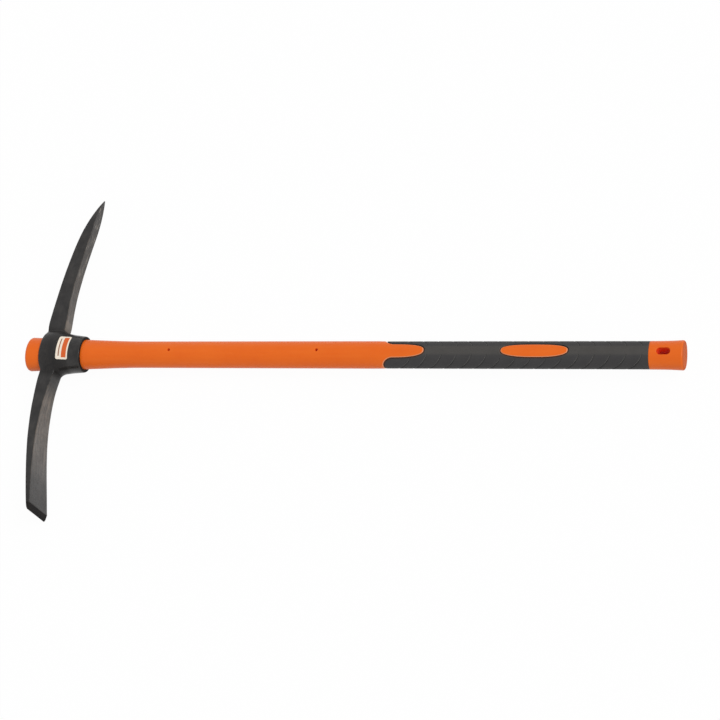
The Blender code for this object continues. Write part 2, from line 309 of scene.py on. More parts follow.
def evaluated(obj: Object) -> Mesh:
    """Turns an object with its modifiers into a plain mesh and removes the object.

    Args:
        obj: The object.

    Returns:
        The mesh.
    """
    bpy.context.view_layer.update()
    graph = bpy.context.evaluated_depsgraph_get()
    mesh = bpy.data.meshes.new_from_object(obj.evaluated_get(graph))
    mesh.name = obj.name
    bpy.data.objects.remove(obj)
    return mesh


def run_tree(tree: Tree, mesh: Mesh, inputs: dict[str, float]) -> Mesh:
    """Runs a geometry tree on a mesh.

    Args:
        tree: The tree.
        mesh: The geometry that goes into it. The result takes its name.
        inputs: The values of its other inputs, by name.

    Returns:
        The result as a plain mesh, with its faces pointing out.
    """
    obj = new_object(mesh.name, mesh)
    modifier = obj.modifiers.new(tree.name, "NODES")
    modifier.node_group = tree
    for name, value in inputs.items():
        modifier[input_key(tree, name)] = value
    return joined(mesh.name, [evaluated(obj)])


def smooth_step(value: float, low: float, high: float) -> float:
    """0 up to low and 1 from high on, evenly curved between them. The two may stand the other way round."""
    share = min(1.0, max(0.0, (value - low) / (high - low)))
    return share * share * (3 - 2 * share)


def looked_up(table: Table, place: float) -> float:
    """Reads a table of rising places and their values at any place. Outside the table its ends hold.

    Args:
        table: The places and values.
        place: Where it is read.

    Returns:
        The value there.
    """
    for (low, before), (high, after) in itertools.pairwise(table):
        if place < high:
            return before + (after - before) * max(0.0, (place - low) / (high - low))
    return table[-1][1]


def store(mesh: Mesh, **marks: Sequence[float]) -> None:
    """Stores a value at each vertex under each name, for a material or a tree to read."""
    for name, values in marks.items():
        mesh.attributes.new(name, "FLOAT", "POINT").data.foreach_set("value", values)


def cut(mesh: Mesh, cutters: Sequence[Mesh]) -> Mesh:
    """Takes each cutter's volume out of a solid, one after the other. All of them are closed.

    Args:
        mesh: The solid.
        cutters: The solids to take out of it.

    Returns:
        The cut solid.
    """
    obj = new_object(mesh.name, mesh)
    tools = [new_object(cutter.name, cutter) for cutter in cutters]
    for tool in tools:
        modifier = obj.modifiers.new(tool.name, "BOOLEAN")
        modifier.operation = "DIFFERENCE"
        modifier.solver = "MANIFOLD"
        modifier.object = tool
    result = evaluated(obj)
    for tool in tools:
        bpy.data.objects.remove(tool)
    return result


def arc(radius: float, steps: int) -> Plan:
    """A quarter circle in steps, each as how far it has come in and how far it still has to rise."""
    angles = [math.pi / 2 * step / steps for step in range(steps + 1)]
    return [(radius * (1 - math.cos(a)), radius * (1 - math.sin(a))) for a in angles]


def quarter_oval(power: float, steps: int) -> Plan:
    """A quarter of an oval of half size 1, from (0, 1) to (1, 0). A power above 2 squares it off."""
    angles = [math.pi / 2 * step / steps for step in range(steps)]
    return [(math.sin(a) ** (2 / power), math.cos(a) ** (2 / power)) for a in angles] + [(1.0, 0.0)]


def all_round(quarter: Plan, *turns: Callable[[float, float], Point]) -> Plan:
    """Completes an outline from its first quarter, which each turn carries into one of the other three."""
    runs = quarter[-2::-1], quarter[1:], quarter[-2:0:-1]
    return [*quarter, *(turn(*point) for turn, run in zip(turns, runs) for point in run)]


def grown(half: Half, by: float) -> Half:
    """A half size, larger all round."""
    return half[0] + by, half[1] + by


def stations_along(start: float, end: float, half_at: HalfAt, pitch: float = 0.004) -> list[Station]:
    """Evenly spaced stations from start to end, both included.

    Args:
        start: x of the first one.
        end: x of the last one.
        half_at: The half size at x.
        pitch: About how far apart they are.

    Returns:
        The stations.
    """
    count = max(1, round(abs(end - start) / pitch))
    places = [start + (end - start) * step / count for step in range(count + 1)]
    return [(x, *half_at(x)) for x in places]


class OvalSweep:
    """A Geometry Nodes tree that skins ovals along the handle, through a list of stations."""

    HALVES = ("half_width", "half_thickness")

    def __init__(self) -> None:
        """Builds the tree."""
        inputs = {"Stations": "Geometry", "Sides": "Int", "Material": "Material"}
        wiring = new_group("oval_sweep", "GeometryNodeTree", inputs, {"Skin": "Geometry"})
        self.tree = wiring.tree
        given = wiring.add("NodeGroupInput").outputs
        stations, sides = given["Stations"], given["Sides"]
        size = wiring.add("GeometryNodeAttributeDomainSize", {"Geometry": stations}, component="MESH")
        count = size.outputs["Point Count"]
        last = wiring.math("SUBTRACT", count, 1.0)
        corners = wiring.math("ADD", sides, 1.0)
        sizes = {"Size X": last, "Size Y": sides, "Vertices X": count, "Vertices Y": corners}
        grid = wiring.add("GeometryNodeMeshGrid", sizes).outputs[0]
        own_place = wiring.add("GeometryNodeInputPosition").outputs[0]
        place = wiring.split(own_place)
        index = wiring.math("ROUND", wiring.math("MULTIPLY_ADD", last, 0.5, place["X"]))
        turn = wiring.math("DIVIDE", wiring.math("MULTIPLY_ADD", sides, 0.5, place["Y"]), sides)
        angle = wiring.times(turn, math.tau)

        def at_station(value: Socket, kind: str) -> Socket:
            """Reads a value of the station that a corner of the skin belongs to."""
            reading = {"Geometry": stations, "Value": value, "Index": index}
            return wiring.add("GeometryNodeSampleIndex", reading, data_type=kind, domain="POINT").outputs[0]

        coordinates = [wiring.split(at_station(own_place, "FLOAT_VECTOR"))["X"]]
        for name, operation in zip(self.HALVES, ("COSINE", "SINE")):
            half = wiring.add("GeometryNodeInputNamedAttribute", {"Name": name}, data_type="FLOAT").outputs[0]
            coordinates.append(wiring.times(at_station(half, "FLOAT"), wiring.math(operation, angle)))
        placing = {"Geometry": grid, "Position": wiring.vector(*coordinates)}
        placed = wiring.add("GeometryNodeSetPosition", placing).outputs[0]
        merging = {"Geometry": placed, "Distance": MERGE_DISTANCE}
        hand_out(wiring, wiring.add("GeometryNodeMergeByDistance", merging).outputs[0], given["Material"])

    def skin(self, name: str, stations: Sequence[Station], sides: int) -> Mesh:
        """Skins ovals through stations.

        Args:
            name: The mesh's name.
            stations: x, half width and half thickness of each oval. Two poles or two equal ends close it.
            sides: How many corners an oval has.

        Returns:
            The mesh.
        """
        places, *halves = zip(*stations)
        line = bpy.data.meshes.new(name)
        line.from_pydata([(x, 0.0, 0.0) for x in places], [], [])
        store(line, **dict(zip(self.HALVES, halves)))
        return run_tree(self.tree, line, {"Sides": sides})


class GrooveRow:
    """A Geometry Nodes tree that repeats a blade along the handle, on both flanks."""

    OTHER_FLANK = (1.0, -1.0, 1.0)

    def __init__(self) -> None:
        """Builds the tree."""
        numbers = {"Count": "Int", "First": "Float", "Pitch": "Float"}
        inputs = {"Blade": "Geometry", **numbers, "Material": "Material"}
        wiring = new_group("groove_row", "GeometryNodeTree", inputs, {"Row": "Geometry"})
        self.tree = wiring.tree
        given = wiring.add("NodeGroupInput").outputs
        start, step = (wiring.vector(given[name]) for name in ("First", "Pitch"))
        spacing = {"Count": given["Count"], "Start Location": start, "Offset": step}
        points = wiring.add("GeometryNodeMeshLine", spacing).outputs[0]
        placing = {"Points": points, "Instance": given["Blade"]}
        row = wiring.add("GeometryNodeInstanceOnPoints", placing).outputs[0]
        mirroring = {"Geometry": row, "Scale": self.OTHER_FLANK}
        other = wiring.add("GeometryNodeTransform", mirroring).outputs[0]
        both = wiring.add("GeometryNodeJoinGeometry")
        for flank in (row, other):
            wiring.tree.links.new(flank, both.inputs[0])
        hand_out(wiring, both.outputs[0], given["Material"])

    def repeat(self, blade: Mesh, count: int, first: float, pitch: float) -> Mesh:
        """Repeats the blade at x = 0 on both flanks: how many, x of the first one and how far apart."""
        return run_tree(self.tree, blade, {"Count": count, "First": first, "Pitch": pitch})


@dataclass(frozen=True)
class HandleForm:
    """The handle's outer form round its axis. A half size is half the width and half the thickness."""

    length: float = 0.900
    head_end: Half = (0.0240, 0.0191)
    shaft: Half = (0.0181, 0.0163)
    eye_left: float = 0.0230
    wedge_length: float = 0.125
    wedge_runout: float = 0.050
    grip_start: float = 0.5153
    grip_end: float = 0.857
    grip: Half = (0.0178, 0.0159)
    pad: Half = (0.0175, 0.0156)
    pad_slope: float = 0.012
    waist: Half = (0.0154, 0.0136)
    butt: Half = (0.0180, 0.0160)
    butt_flare: float = 0.0010
    butt_flare_power: int = 3
    butt_rounding: float = 0.0030
    core_radius: float = 0.0095
    core_length: float = 0.850
    fit_gap: float = 0.0003

    def wedge_at(self, x: float) -> Half:
        """Half size between the head end and the shaft: a straight wedge, then an even curve.

        Args:
            x: How far it is from the head end.

        Returns:
            The half size.
        """
        run, end = self.wedge_runout, self.wedge_length
        curved = max(0.0, end + run - max(x, end))
        straight = max(0.0, end - x)
        share = (curved**2 + 2 * run * straight) / (run**2 + 2 * run * end)
        return tuple(thin + (wide - thin) * share for wide, thin in zip(self.head_end, self.shaft))

    def butt_at(self, x: float) -> Half:
        """Half size of the butt, which flares towards its end face."""
        share = max(0.0, (x - self.grip_end) / (self.length - self.butt_rounding - self.grip_end))
        return grown(self.butt, self.butt_flare * share**self.butt_flare_power)

    def grip_at(self, x: float) -> Half:
        """Half size of the grip, the same all along."""
        return self.grip

    def jacket_at(self, x: float) -> Half:
        """Half size of the jacket in front of the butt, as if it had no waist.

        Args:
            x: How far it is from the head end.

        Returns:
            The half size.
        """
        share = min(1.0, (x - self.grip_start + self.pad_slope) / (2 * self.pad_slope))
        if share <= 0:
            return self.wedge_at(x)
        return tuple(shaft + (pad - shaft) * share for shaft, pad in zip(self.shaft, self.pad))


FORM = HandleForm()


@dataclass(frozen=True)
class HandleAxis:
    """The handle's axis in the frame, at its head end."""

    head_end: Vector

    @classmethod
    def from_frame(cls) -> "HandleAxis":
        """Finds the axis from the core, which is round, and the jacket, which starts at the head end.

        Returns:
            The axis.
        """
        low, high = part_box(Part.CORE.value)
        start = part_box(Part.JACKET.value)[0].x
        return cls(Vector((start, (low.y + high.y) / 2, (low.z + high.z) / 2)))

    def finish(self, name: str, mesh: Mesh, material: Material, body: Body) -> Object:
        """Sets a mesh that was built round the axis in its place and makes it a piece of the tool.

        Args:
            name: The piece's name.
            mesh: Its mesh.
            material: Its finish.
            body: What it rides on.

        Returns:
            The piece.
        """
        mesh.transform(Matrix.Translation(self.head_end))
        mesh.materials.clear()
        mesh.materials.append(material)
        mesh.shade_smooth()
        mesh.set_sharp_from_angle(angle=SHARP_ANGLE)
        mesh.calc_loop_triangles()
        piece = new_object(name, mesh)
        LOG.info("%s: %d triangles, on %s, in %s", name, len(mesh.loop_triangles), body.value, material.name)
        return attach(piece, body.value)


@dataclass(frozen=True)
class SurfaceOutline:
    """A closed line on the handle: x and the angle round the handle, which is a quarter turn on top.

    Its points are worked out for any growth, which is how much wider the line is all round. A point's depth
    is measured square to the surface, or straight down where the outline is upright. The rounded edge of a
    plug ends a little over the surface, by "clear", so that its last ring doesn't lie in it.
    """

    points_at: PlanAt
    half_at: HalfAt
    upright: bool = False
    clear: float = 0.02 * MILLIMETRE
    edge_steps: int = 6

    @classmethod
    def in_plan(
        cls, plan_at: PlanAt, face: Face, half_at: HalfAt, upright: bool = False
    ) -> "SurfaceOutline":
        """Lays an outline that is known in plan on one face of the handle.

        Args:
            plan_at: x and y of its points for a growth.
            face: The face.
            half_at: The handle's half size at x.
            upright: Whether depth is measured straight down.

        Returns:
            The outline.
        """

        def points_at(growth: float) -> Plan:
            """The points as x and angle."""
            return [(x, face.value * math.acos(y / half_at(x)[0])) for x, y in plan_at(growth)]

        return cls(points_at, half_at, upright)

    def ring(self, growth: float, depth: float) -> Ring:
        """The line, grown over the surface and moved down into it.

        Args:
            growth: How much wider it gets, all round.
            depth: How deep it goes. Above the surface it is negative.

        Returns:
            Its points.
        """
        ring = []
        for x, angle in self.points_at(growth):
            half = self.half_at(x)
            surface = Vector((x, half[0] * math.cos(angle), half[1] * math.sin(angle)))
            normal = Vector((0.0, math.cos(angle) / half[0], math.sin(angle) / half[1])).normalized()
            if self.upright:
                normal = Vector((0.0, 0.0, math.copysign(1.0, math.sin(angle))))
            ring.append(surface - normal * depth)
        return ring

    def plug(self, lip: Lip, radius: float, clearance: float, foot: float, above: float) -> list[Ring]:
        """Rings of a solid that fills the outline, with a rounded edge where it leaves the surface.

        Args:
            lip: Which side keeps the rounded edge: the hole's rim or the plug's own edge.
            radius: The edge's radius.
            clearance: How much smaller the plug is than the outline, all round.
            foot: How deep it reaches.
            above: How high it stands over the surface.

        Returns:
            The rings, from the deepest to the highest.
        """
        edge = [
            self.ring(lip.value * inward - clearance, rise - self.clear * (1 - rise / radius))
            for inward, rise in arc(radius, self.edge_steps)
        ]
        return [self.ring(-clearance, foot), *edge, self.ring(lip.value * radius - clearance, -above)]


@dataclass
class GripOpenings:
    """The grip's front edge with its tongue, and its window, both on either face of the handle.

    The solid that fills the space in front of the edge is a ring: it starts "front_length" before the grip,
    between the half sizes "front_reaches". The steps are how many chords each stretch of an edge has.
    """

    tongue_end: float = 0.5703
    tongue_half_width: float = 0.0110
    tongue_taper: float = 0.045
    lobe: Half = (0.0110, 0.0068)
    lobe_power: float = 1.6
    window_centre: float = 0.7130
    window_half: Half = (0.0444, 0.0103)
    power: float = 2.6
    foot: float = 0.0042
    above: float = 0.0060
    front_length: float = 0.020
    front_reaches: Range = (0.005, 0.026)
    flank_steps: int = 8
    lobe_steps: int = 16
    tongue_steps: int = 30
    window_steps: int = 24

    def front(self, half_at: HalfAt) -> SurfaceOutline:
        """The front edge, once round the handle.

        Args:
            half_at: The half size of the surface that it lies on.

        Returns:
            The outline. It grows towards the butt.
        """

        def angle_at(x: float, y: float) -> float:
            """The angle round the handle over a point in plan."""
            return math.acos(min(1.0, y / half_at(x)[0]))

        def points_at(growth: float) -> Plan:
            """The points as x and angle.

            Args:
                growth: How much wider it gets, all round.

            Returns:
                The points.
            """
            start = FORM.grip_start + growth
            lobe = [size - growth for size in self.lobe]
            centre = FORM.grip_start + self.lobe[0], self.tongue_half_width + self.lobe[1]
            flank = angle_at(start, centre[1])
            quarter = [(start, flank * step / self.flank_steps) for step in range(self.flank_steps)]
            for along, across in quarter_oval(self.lobe_power, self.lobe_steps):
                x = centre[0] - lobe[0] * across
                quarter.append((x, angle_at(x, centre[1] - lobe[1] * along)))
            for along, across in quarter_oval(self.power, self.tongue_steps)[1:]:
                x = self.tongue_end - self.tongue_taper + (self.tongue_taper + growth) * along
                quarter.append((x, angle_at(x, (self.tongue_half_width + growth) * across)))
            return all_round(
                quarter,
                lambda x, angle: (x, math.pi - angle),
                lambda x, angle: (x, math.pi + angle),
                lambda x, angle: (x, math.tau - angle),
            )

        return SurfaceOutline(points_at, half_at)

    def window(self, face: Face, half_at: HalfAt) -> SurfaceOutline:
        """The window's edge.

        Args:
            face: The face of the handle that it is on.
            half_at: The half size of the surface that it lies on.

        Returns:
            The outline.
        """

        def plan_at(growth: float) -> Plan:
            """The points as x and y.

            Args:
                growth: How much wider it gets, all round.

            Returns:
                The points.
            """
            half = grown(self.window_half, growth)
            oval = quarter_oval(self.power, self.window_steps)
            quarter = [(half[0] * across, half[1] * along) for along, across in oval]
            turns = (lambda x, y: (-x, y), lambda x, y: (-x, -y), lambda x, y: (x, -y))
            return [(self.window_centre + x, y) for x, y in all_round(quarter, *turns)]

        return SurfaceOutline.in_plan(plan_at, face, half_at)

    def plugs(
        self, name: str, half_at: HalfAt, lip: Lip, radius: float, clearance: float = 0.0
    ) -> list[Mesh]:
        """Solids that fill the openings.

        Args:
            name: What they are called.
            half_at: The half size of the surface where their edges are.
            lip: Which side keeps the rounded edges.
            radius: The edges' radius.
            clearance: How much smaller than the openings they are.

        Returns:
            The solid in front of the grip's edge, and one mesh of the two windows' solids.
        """

        def filled(outline: SurfaceOutline) -> list[Ring]:
            """The rings of the solid in an outline."""
            return outline.plug(lip, radius, clearance, self.foot, self.above)

        front = self.front(half_at)
        far = FORM.grip_start - self.front_length
        turns = [(math.cos(angle), math.sin(angle)) for _, angle in front.points_at(0.0)]
        inner, outer = (
            [Vector((far, reach * y, reach * z)) for y, z in turns] for reach in self.front_reaches
        )
        solid = skinned(name + "_front", [inner, *filled(front), outer], closed=True)
        windows = [skinned(name, filled(self.window(face, half_at))) for face in Face]
        return [solid, joined(name + "_windows", windows)]


class Effects:
    """The shader node groups that the finishes share. Each takes a place and how fine it is, per metre."""

    CLOUD_EDGES = (0.3, 0.7)
    STREAK_EDGES = (0.42, 0.66)
    WAVE_SCALE = 0.37
    CELL_SHARE = 0.6

    def __init__(self) -> None:
        """Builds each group once."""
        self.clouds = self._clouds()
        self.grain = self._grain()
        self.streaks = self._streaks()

    @staticmethod
    def _opened(name: str, *outputs: str) -> tuple[Wiring, dict[str, Socket]]:
        """Starts a group.

        Args:
            name: Its name.
            outputs: The names of the values that it puts out.

        Returns:
            Its wiring, and what a texture in it is given.
        """
        sockets = {"Place": "Vector", "Scale": "Float"}
        wiring = new_group(name, "ShaderNodeTree", sockets, dict.fromkeys(outputs, "Float"))
        given = wiring.add("NodeGroupInput").outputs
        return wiring, {"Vector": given["Place"], "Scale": given["Scale"]}

    def _clouds(self) -> Tree:
        """Soft unevenness over a surface.

        Returns:
            The group.
        """
        wiring, given = self._opened("clouds", "Mask")
        field = wiring.add("ShaderNodeTexNoise", given | {"Detail": 4.0, "Roughness": 0.6}).outputs[0]
        wiring.add("NodeGroupOutput", {0: wiring.ranged(field, source=self.CLOUD_EDGES)})
        return wiring.tree

    def _grain(self) -> Tree:
        """The fine, rounded grain of a moulded or sprayed surface.

        Returns:
            The group.
        """
        wiring, given = self._opened("grain", "Height")
        cells = wiring.add("ShaderNodeTexVoronoi", given, feature="SMOOTH_F1").outputs["Distance"]
        coarser = {"Scale": wiring.times(given["Scale"], self.WAVE_SCALE), "Detail": 2.0}
        waves = wiring.add("ShaderNodeTexNoise", given | coarser).outputs[0]
        wiring.add("NodeGroupOutput", {0: wiring.math("MULTIPLY_ADD", cells, self.CELL_SHARE, waves)})
        return wiring.tree

    def _streaks(self) -> Tree:
        """Long marks along one direction, as drawing, forging or moulding leaves them.

        Returns:
            The group.
        """
        wiring, given = self._opened("streaks", "Height", "Mask")
        field = wiring.add("ShaderNodeTexNoise", given | {"Detail": 3.0, "Roughness": 0.55}).outputs[0]
        wiring.add("NodeGroupOutput", {0: field, 1: wiring.ranged(field, source=self.STREAK_EDGES)})
        return wiring.tree


class FinishWiring(Wiring):
    """The node tree of one finish: a Principled shader and the effects that feed it."""

    def __init__(self, name: str, **fixed: float) -> None:
        """Starts a material.

        Args:
            name: Its name.
            fixed: Values of the shader that are the same all over, with _ for each space.
        """
        self.material = bpy.data.materials.new(name)
        self.material.use_nodes = True
        super().__init__(self.material.node_tree)
        self.shader = self.tree.nodes["Principled BSDF"]
        for label, value in fixed.items():
            self.shader.inputs[label.replace("_", " ")].default_value = value
        self.place = self.add("ShaderNodeTexCoord").outputs["Object"]

    def marks(self, *names: str) -> list[Socket]:
        """Reads the values that the piece's mesh stores at its vertices under these names."""
        return [self.add("ShaderNodeAttribute", attribute_name=name).outputs["Fac"] for name in names]

    def effect(self, tree: Tree, scale: float, place: Socket | None = None) -> Sockets:
        """Places a shared effect.

        Args:
            tree: The effect's group.
            scale: How fine it is, per metre.
            place: Where it is read, if not simply at the place on the piece.

        Returns:
            Its outputs.
        """
        inputs = {"Place": self.place if place is None else place, "Scale": scale}
        return self.add("ShaderNodeGroup", inputs, node_tree=tree).outputs

    def relief(self, heights: Sequence[Socket], depths: Depths) -> None:
        """Bumps the surface.

        Args:
            heights: The layers' heights, from 0 to 1.
            depths: What 1 stands for in each layer, in metres.
        """
        inputs = {"Strength": 1.0}
        for height, depth in zip(heights, depths):
            inputs |= {"Height": height, "Distance": depth}
            inputs["Normal"] = self.add("ShaderNodeBump", inputs).outputs[0]
        self.feed(Normal=inputs["Normal"])

    def feed(self, **sockets: Socket) -> None:
        """Links sockets to the shader's inputs, whose names have _ for each space."""
        for label, socket in sockets.items():
            self.tree.links.new(socket, self.shader.inputs[label.replace("_", " ")])


@dataclass(frozen=True)
class ForgedLacquer:
    """Black lacquer over forged steel: glossy arms, a dull eye and bevel, and inner faces that are worn
    lighter.

    The lacquer is worn in patches of streaks and blotches. Each pair of patches is a range of patchiness,
    and the pair of wear below it is how far the lacquer is worn at the two ends of that range. The lighter
    inner faces and edges are partly wear and partly painted light: the inner faces where they face the butt,
    with a painted highlight at the point's root, and the edges as a painted highlight.
    """

    colour: Colour = (0.0102, 0.0094, 0.0094)
    # Lighter colour of worn lacquer, also used as painted light on the inner faces that face the butt and at
    # the point's root.
    rubbed: Colour = (0.140, 0.114, 0.092)
    bare: Colour = (0.340, 0.300, 0.250)
    roughness: Range = (0.44, 0.58)
    gloss: Range = (0.54, 0.82)
    cloud_scale: float = 55.0
    blotch_scale: float = 210.0
    grain_scale: float = 1500.0
    streak_scale: float = 520.0
    speck_scale: float = 620.0
    length_scale: float = 0.06
    streak_share: float = 0.7
    blotch_share: float = 0.5
    inside_patches: Range = (0.10, 0.95)
    inside_wear: Range = (0.50, 1.80)
    edge_patches: Range = (0.3, 0.9)
    # Convex edges are lighter partly as wear and partly as a painted highlight.
    edge_wear: Range = (0.02, 0.60)
    all_over_wear: float = 0.12
    nick_specks: Range = (0.66, 0.98)
    relief_depths: Depths = (0.00008, 0.00008, 0.00003)

    def material(self, effects: Effects) -> Material:
        """Builds the material.

        Args:
            effects: The shared effects.

        Returns:
            The material.
        """
        wiring = FinishWiring("forged_lacquer", Specular_IOR_Level=0.04, Coat_Roughness=0.22)
        names = ("edge", "hollow", "dull", "nicked", "rubbed", "track")
        edge, hollow, dull, nicked, rubbed, track = wiring.marks(*names)
        clouds = wiring.effect(effects.clouds, self.cloud_scale)["Mask"]
        blotches = wiring.effect(effects.clouds, self.blotch_scale)["Mask"]
        grain = wiring.effect(effects.grain, self.grain_scale)["Height"]
        place = wiring.split(wiring.place)
        in_line = wiring.vector(track, wiring.times(place["Y"], self.length_scale), place["Z"])
        streaks = wiring.effect(effects.streaks, self.streak_scale, in_line)
        specks = wiring.effect(effects.clouds, self.speck_scale, in_line)["Mask"]
        blotchy = wiring.times(blotches, self.blotch_share)
        patchy = wiring.math("MULTIPLY_ADD", streaks["Mask"], self.streak_share, blotchy)
        # Inner faces lighter where they face the butt: partly wear, partly painted light.
        on_inside = wiring.times(rubbed, wiring.ranged(patchy, self.inside_wear, self.inside_patches))
        # Convex edges lighter: partly wear, partly a painted highlight.
        on_edges = wiring.times(edge, wiring.ranged(blotches, self.edge_wear, self.edge_patches))
        all_over = wiring.times(wiring.times(patchy, clouds), self.all_over_wear)
        worn = wiring.largest(on_inside, on_edges, all_over)
        nicks = wiring.times(nicked, wiring.ranged(specks, source=self.nick_specks))
        # Gloss is taken off in hollows as painted shade, and on the dull parts.
        kept = wiring.math("SUBTRACT", 1.0, wiring.largest(dull, hollow))
        wiring.feed(
            Base_Color=wiring.layered(self.colour, (worn, self.rubbed), (nicks, self.bare)),
            Roughness=wiring.ranged(clouds, self.roughness),
            Coat_Weight=wiring.times(kept, wiring.ranged(clouds, self.gloss)),
        )
        wiring.relief((clouds, streaks["Height"], grain), self.relief_depths)
        return wiring.material


@dataclass(frozen=True)
class SatinMoulding:
    """Orange moulded plastic with a satin skin, streaked a little along the handle where it flowed."""

    colour: Colour = (0.750, 0.121, 0.004)
    faded: Colour = (0.785, 0.143, 0.008)
    # Painted highlight: this paler orange on the pads' rounded edges stands in for light catching them.
    rim: Colour = (0.800, 0.340, 0.175)
    # Painted shade: this dark colour in the narrow clearance beside the pads stands in for the shade that
    # falls there.
    gap: Colour = (0.120, 0.030, 0.010)
    # Painted shadow: this dark colour along the head's eye stands in for the shadow that the eye casts on the
    # jacket, towards -y.
    grime: Colour = (0.050, 0.016, 0.010)
    # Painted light: this more saturated red inside the hang slot and pin holes stands in for the orange light
    # bounced inside them.
    deep: Colour = (0.880, 0.070, 0.010)
    scuffed: Colour = (0.480, 0.090, 0.018)
    roughness: Range = (0.34, 0.42)
    rougher: float = 0.4
    cloud_scale: float = 30.0
    flow_scale: float = 160.0
    flow_stretch: Axes = (0.06, 1.0, 1.0)
    grain_scale: float = 2600.0
    flow_share: float = 0.4
    cloud_share: float = 0.6
    scuff_cover: Range = (0.7, 1.0)
    grime_cover: Range = (0.8, 1.0)
    relief_depths: Depths = (0.00012, 0.00002)

    def material(self, effects: Effects) -> Material:
        """Builds the material.

        Args:
            effects: The shared effects.

        Returns:
            The material.
        """
        wiring = FinishWiring("satin_orange_moulding", Specular_IOR_Level=0.25)
        deep, gap, rim, scuffed, grimy = wiring.marks("deep", "gap", "rim", "scuffed", "grimy")
        clouds = wiring.effect(effects.clouds, self.cloud_scale)["Mask"]
        along = wiring.stretched(wiring.place, self.flow_stretch)
        flow = wiring.effect(effects.streaks, self.flow_scale, along)
        grain = wiring.effect(effects.grain, self.grain_scale)["Height"]
        cloudy = wiring.times(clouds, self.cloud_share)
        colour = wiring.layered(
            self.colour,
            (wiring.math("MULTIPLY_ADD", flow["Mask"], self.flow_share, cloudy), self.faded),
            (wiring.times(scuffed, wiring.ranged(clouds, self.scuff_cover)), self.scuffed),
            # Painted highlight on the pads' rounded edges.
            (rim, self.rim),
            # Painted shade in the clearance beside the pads.
            (gap, self.gap),
            # Painted shadow of the head's eye on the jacket, made patchy by the clouds.
            (wiring.times(grimy, wiring.ranged(clouds, self.grime_cover)), self.grime),
            # Painted tint of the light bounced inside the slot and pin holes.
            (deep, self.deep),
        )
        even = wiring.ranged(clouds, self.roughness)
        rough = wiring.math("MULTIPLY_ADD", wiring.largest(deep, scuffed), self.rougher, even)
        wiring.feed(Base_Color=colour, Roughness=rough)
        wiring.relief((flow["Height"], grain), self.relief_depths)
        return wiring.material


@dataclass(frozen=True)
class SoftElastomer:
    """Dark grey soft moulding: smooth bands above and below, and grainier treads on the flanks, darker partly
    in their own tone and partly as painted shade. The grooves' walls that face the butt take a painted
    highlight.
    """

    band: Colour = (0.0475, 0.0445, 0.0415)
    handled_band: Colour = (0.0560, 0.0525, 0.0490)
    # Painted shade in part: the flanks are darker partly in their own tone and partly as painted shade, since
    # less light falls on them.
    tread: Colour = (0.0335, 0.0322, 0.0330)
    worn_tread: Colour = (0.0430, 0.0415, 0.0420)
    # Painted highlight: this light colour on the grooves' walls that face the butt stands in for the light
    # that falls on them.
    dust: Colour = (0.130, 0.125, 0.120)
    roughness: Range = (0.56, 0.74)
    cloud_scale: float = 70.0
    cloud_share: float = 0.4
    grain_scale: float = 1700.0
    grain_cover: Range = (0.35, 1.0)
    relief_depths: Depths = (0.00005, 0.00008)

    def material(self, effects: Effects) -> Material:
        """Builds the material.

        Args:
            effects: The shared effects.

        Returns:
            The material.
        """
        wiring = FinishWiring("dark_elastomer", Specular_IOR_Level=0.30)
        on_tread, dusty = wiring.marks("tread", "dusty")
        clouds = wiring.effect(effects.clouds, self.cloud_scale)["Mask"]
        grain = wiring.effect(effects.grain, self.grain_scale)["Height"]
        bands = wiring.mixed(clouds, self.band, self.handled_band)
        treads = wiring.mixed(clouds, self.tread, self.worn_tread)
        coarse = wiring.math("MULTIPLY_ADD", clouds, self.cloud_share, on_tread)
        wiring.feed(
            # The grooves' walls that face the butt take a painted highlight.
            Base_Color=wiring.layered(bands, (on_tread, treads), (dusty, self.dust)),
            Roughness=wiring.ranged(coarse, self.roughness, (0.0, 1.0 + self.cloud_share)),
        )
        felt = wiring.times(grain, wiring.ranged(on_tread, self.grain_cover))
        wiring.relief((clouds, felt), self.relief_depths)
        return wiring.material


@dataclass(frozen=True)
class ResinRod:
    """A pultruded rod: glass fibres along it in pale resin."""

    resin: Colour = (0.42, 0.39, 0.24)
    fibre: Colour = (0.74, 0.73, 0.58)
    end_stretch: Axes = (0.02, 1.0, 1.0)
    strand_scale: float = 1900.0
    strand_edges: Range = (0.25, 0.55)
    strand_shares: Range = (1.0, 0.25)
    bundle_scale: float = 520.0
    roughness: Range = (0.30, 0.46)
    relief_depths: Depths = (0.00010, 0.00003)

    def material(self, effects: Effects) -> Material:
        """Builds the material.

        Args:
            effects: The shared effects.

        Returns:
            The material.
        """
        wiring = FinishWiring("glass_fibre_rod", Coat_Weight=0.3, Coat_Roughness=0.2)
        place = wiring.stretched(wiring.place, self.end_stretch)
        cells = wiring.add("ShaderNodeTexVoronoi", {"Vector": place, "Scale": self.strand_scale})
        strands = cells.outputs["Distance"]
        bundles = wiring.effect(effects.streaks, self.bundle_scale, place)
        dots = wiring.times(wiring.ranged(strands, self.strand_shares, self.strand_edges), bundles["Mask"])
        wiring.feed(
            Base_Color=wiring.mixed(dots, self.resin, self.fibre),
            Roughness=wiring.ranged(bundles["Mask"], self.roughness),
        )
        wiring.relief((bundles["Height"], strands), self.relief_depths)
        return wiring.material


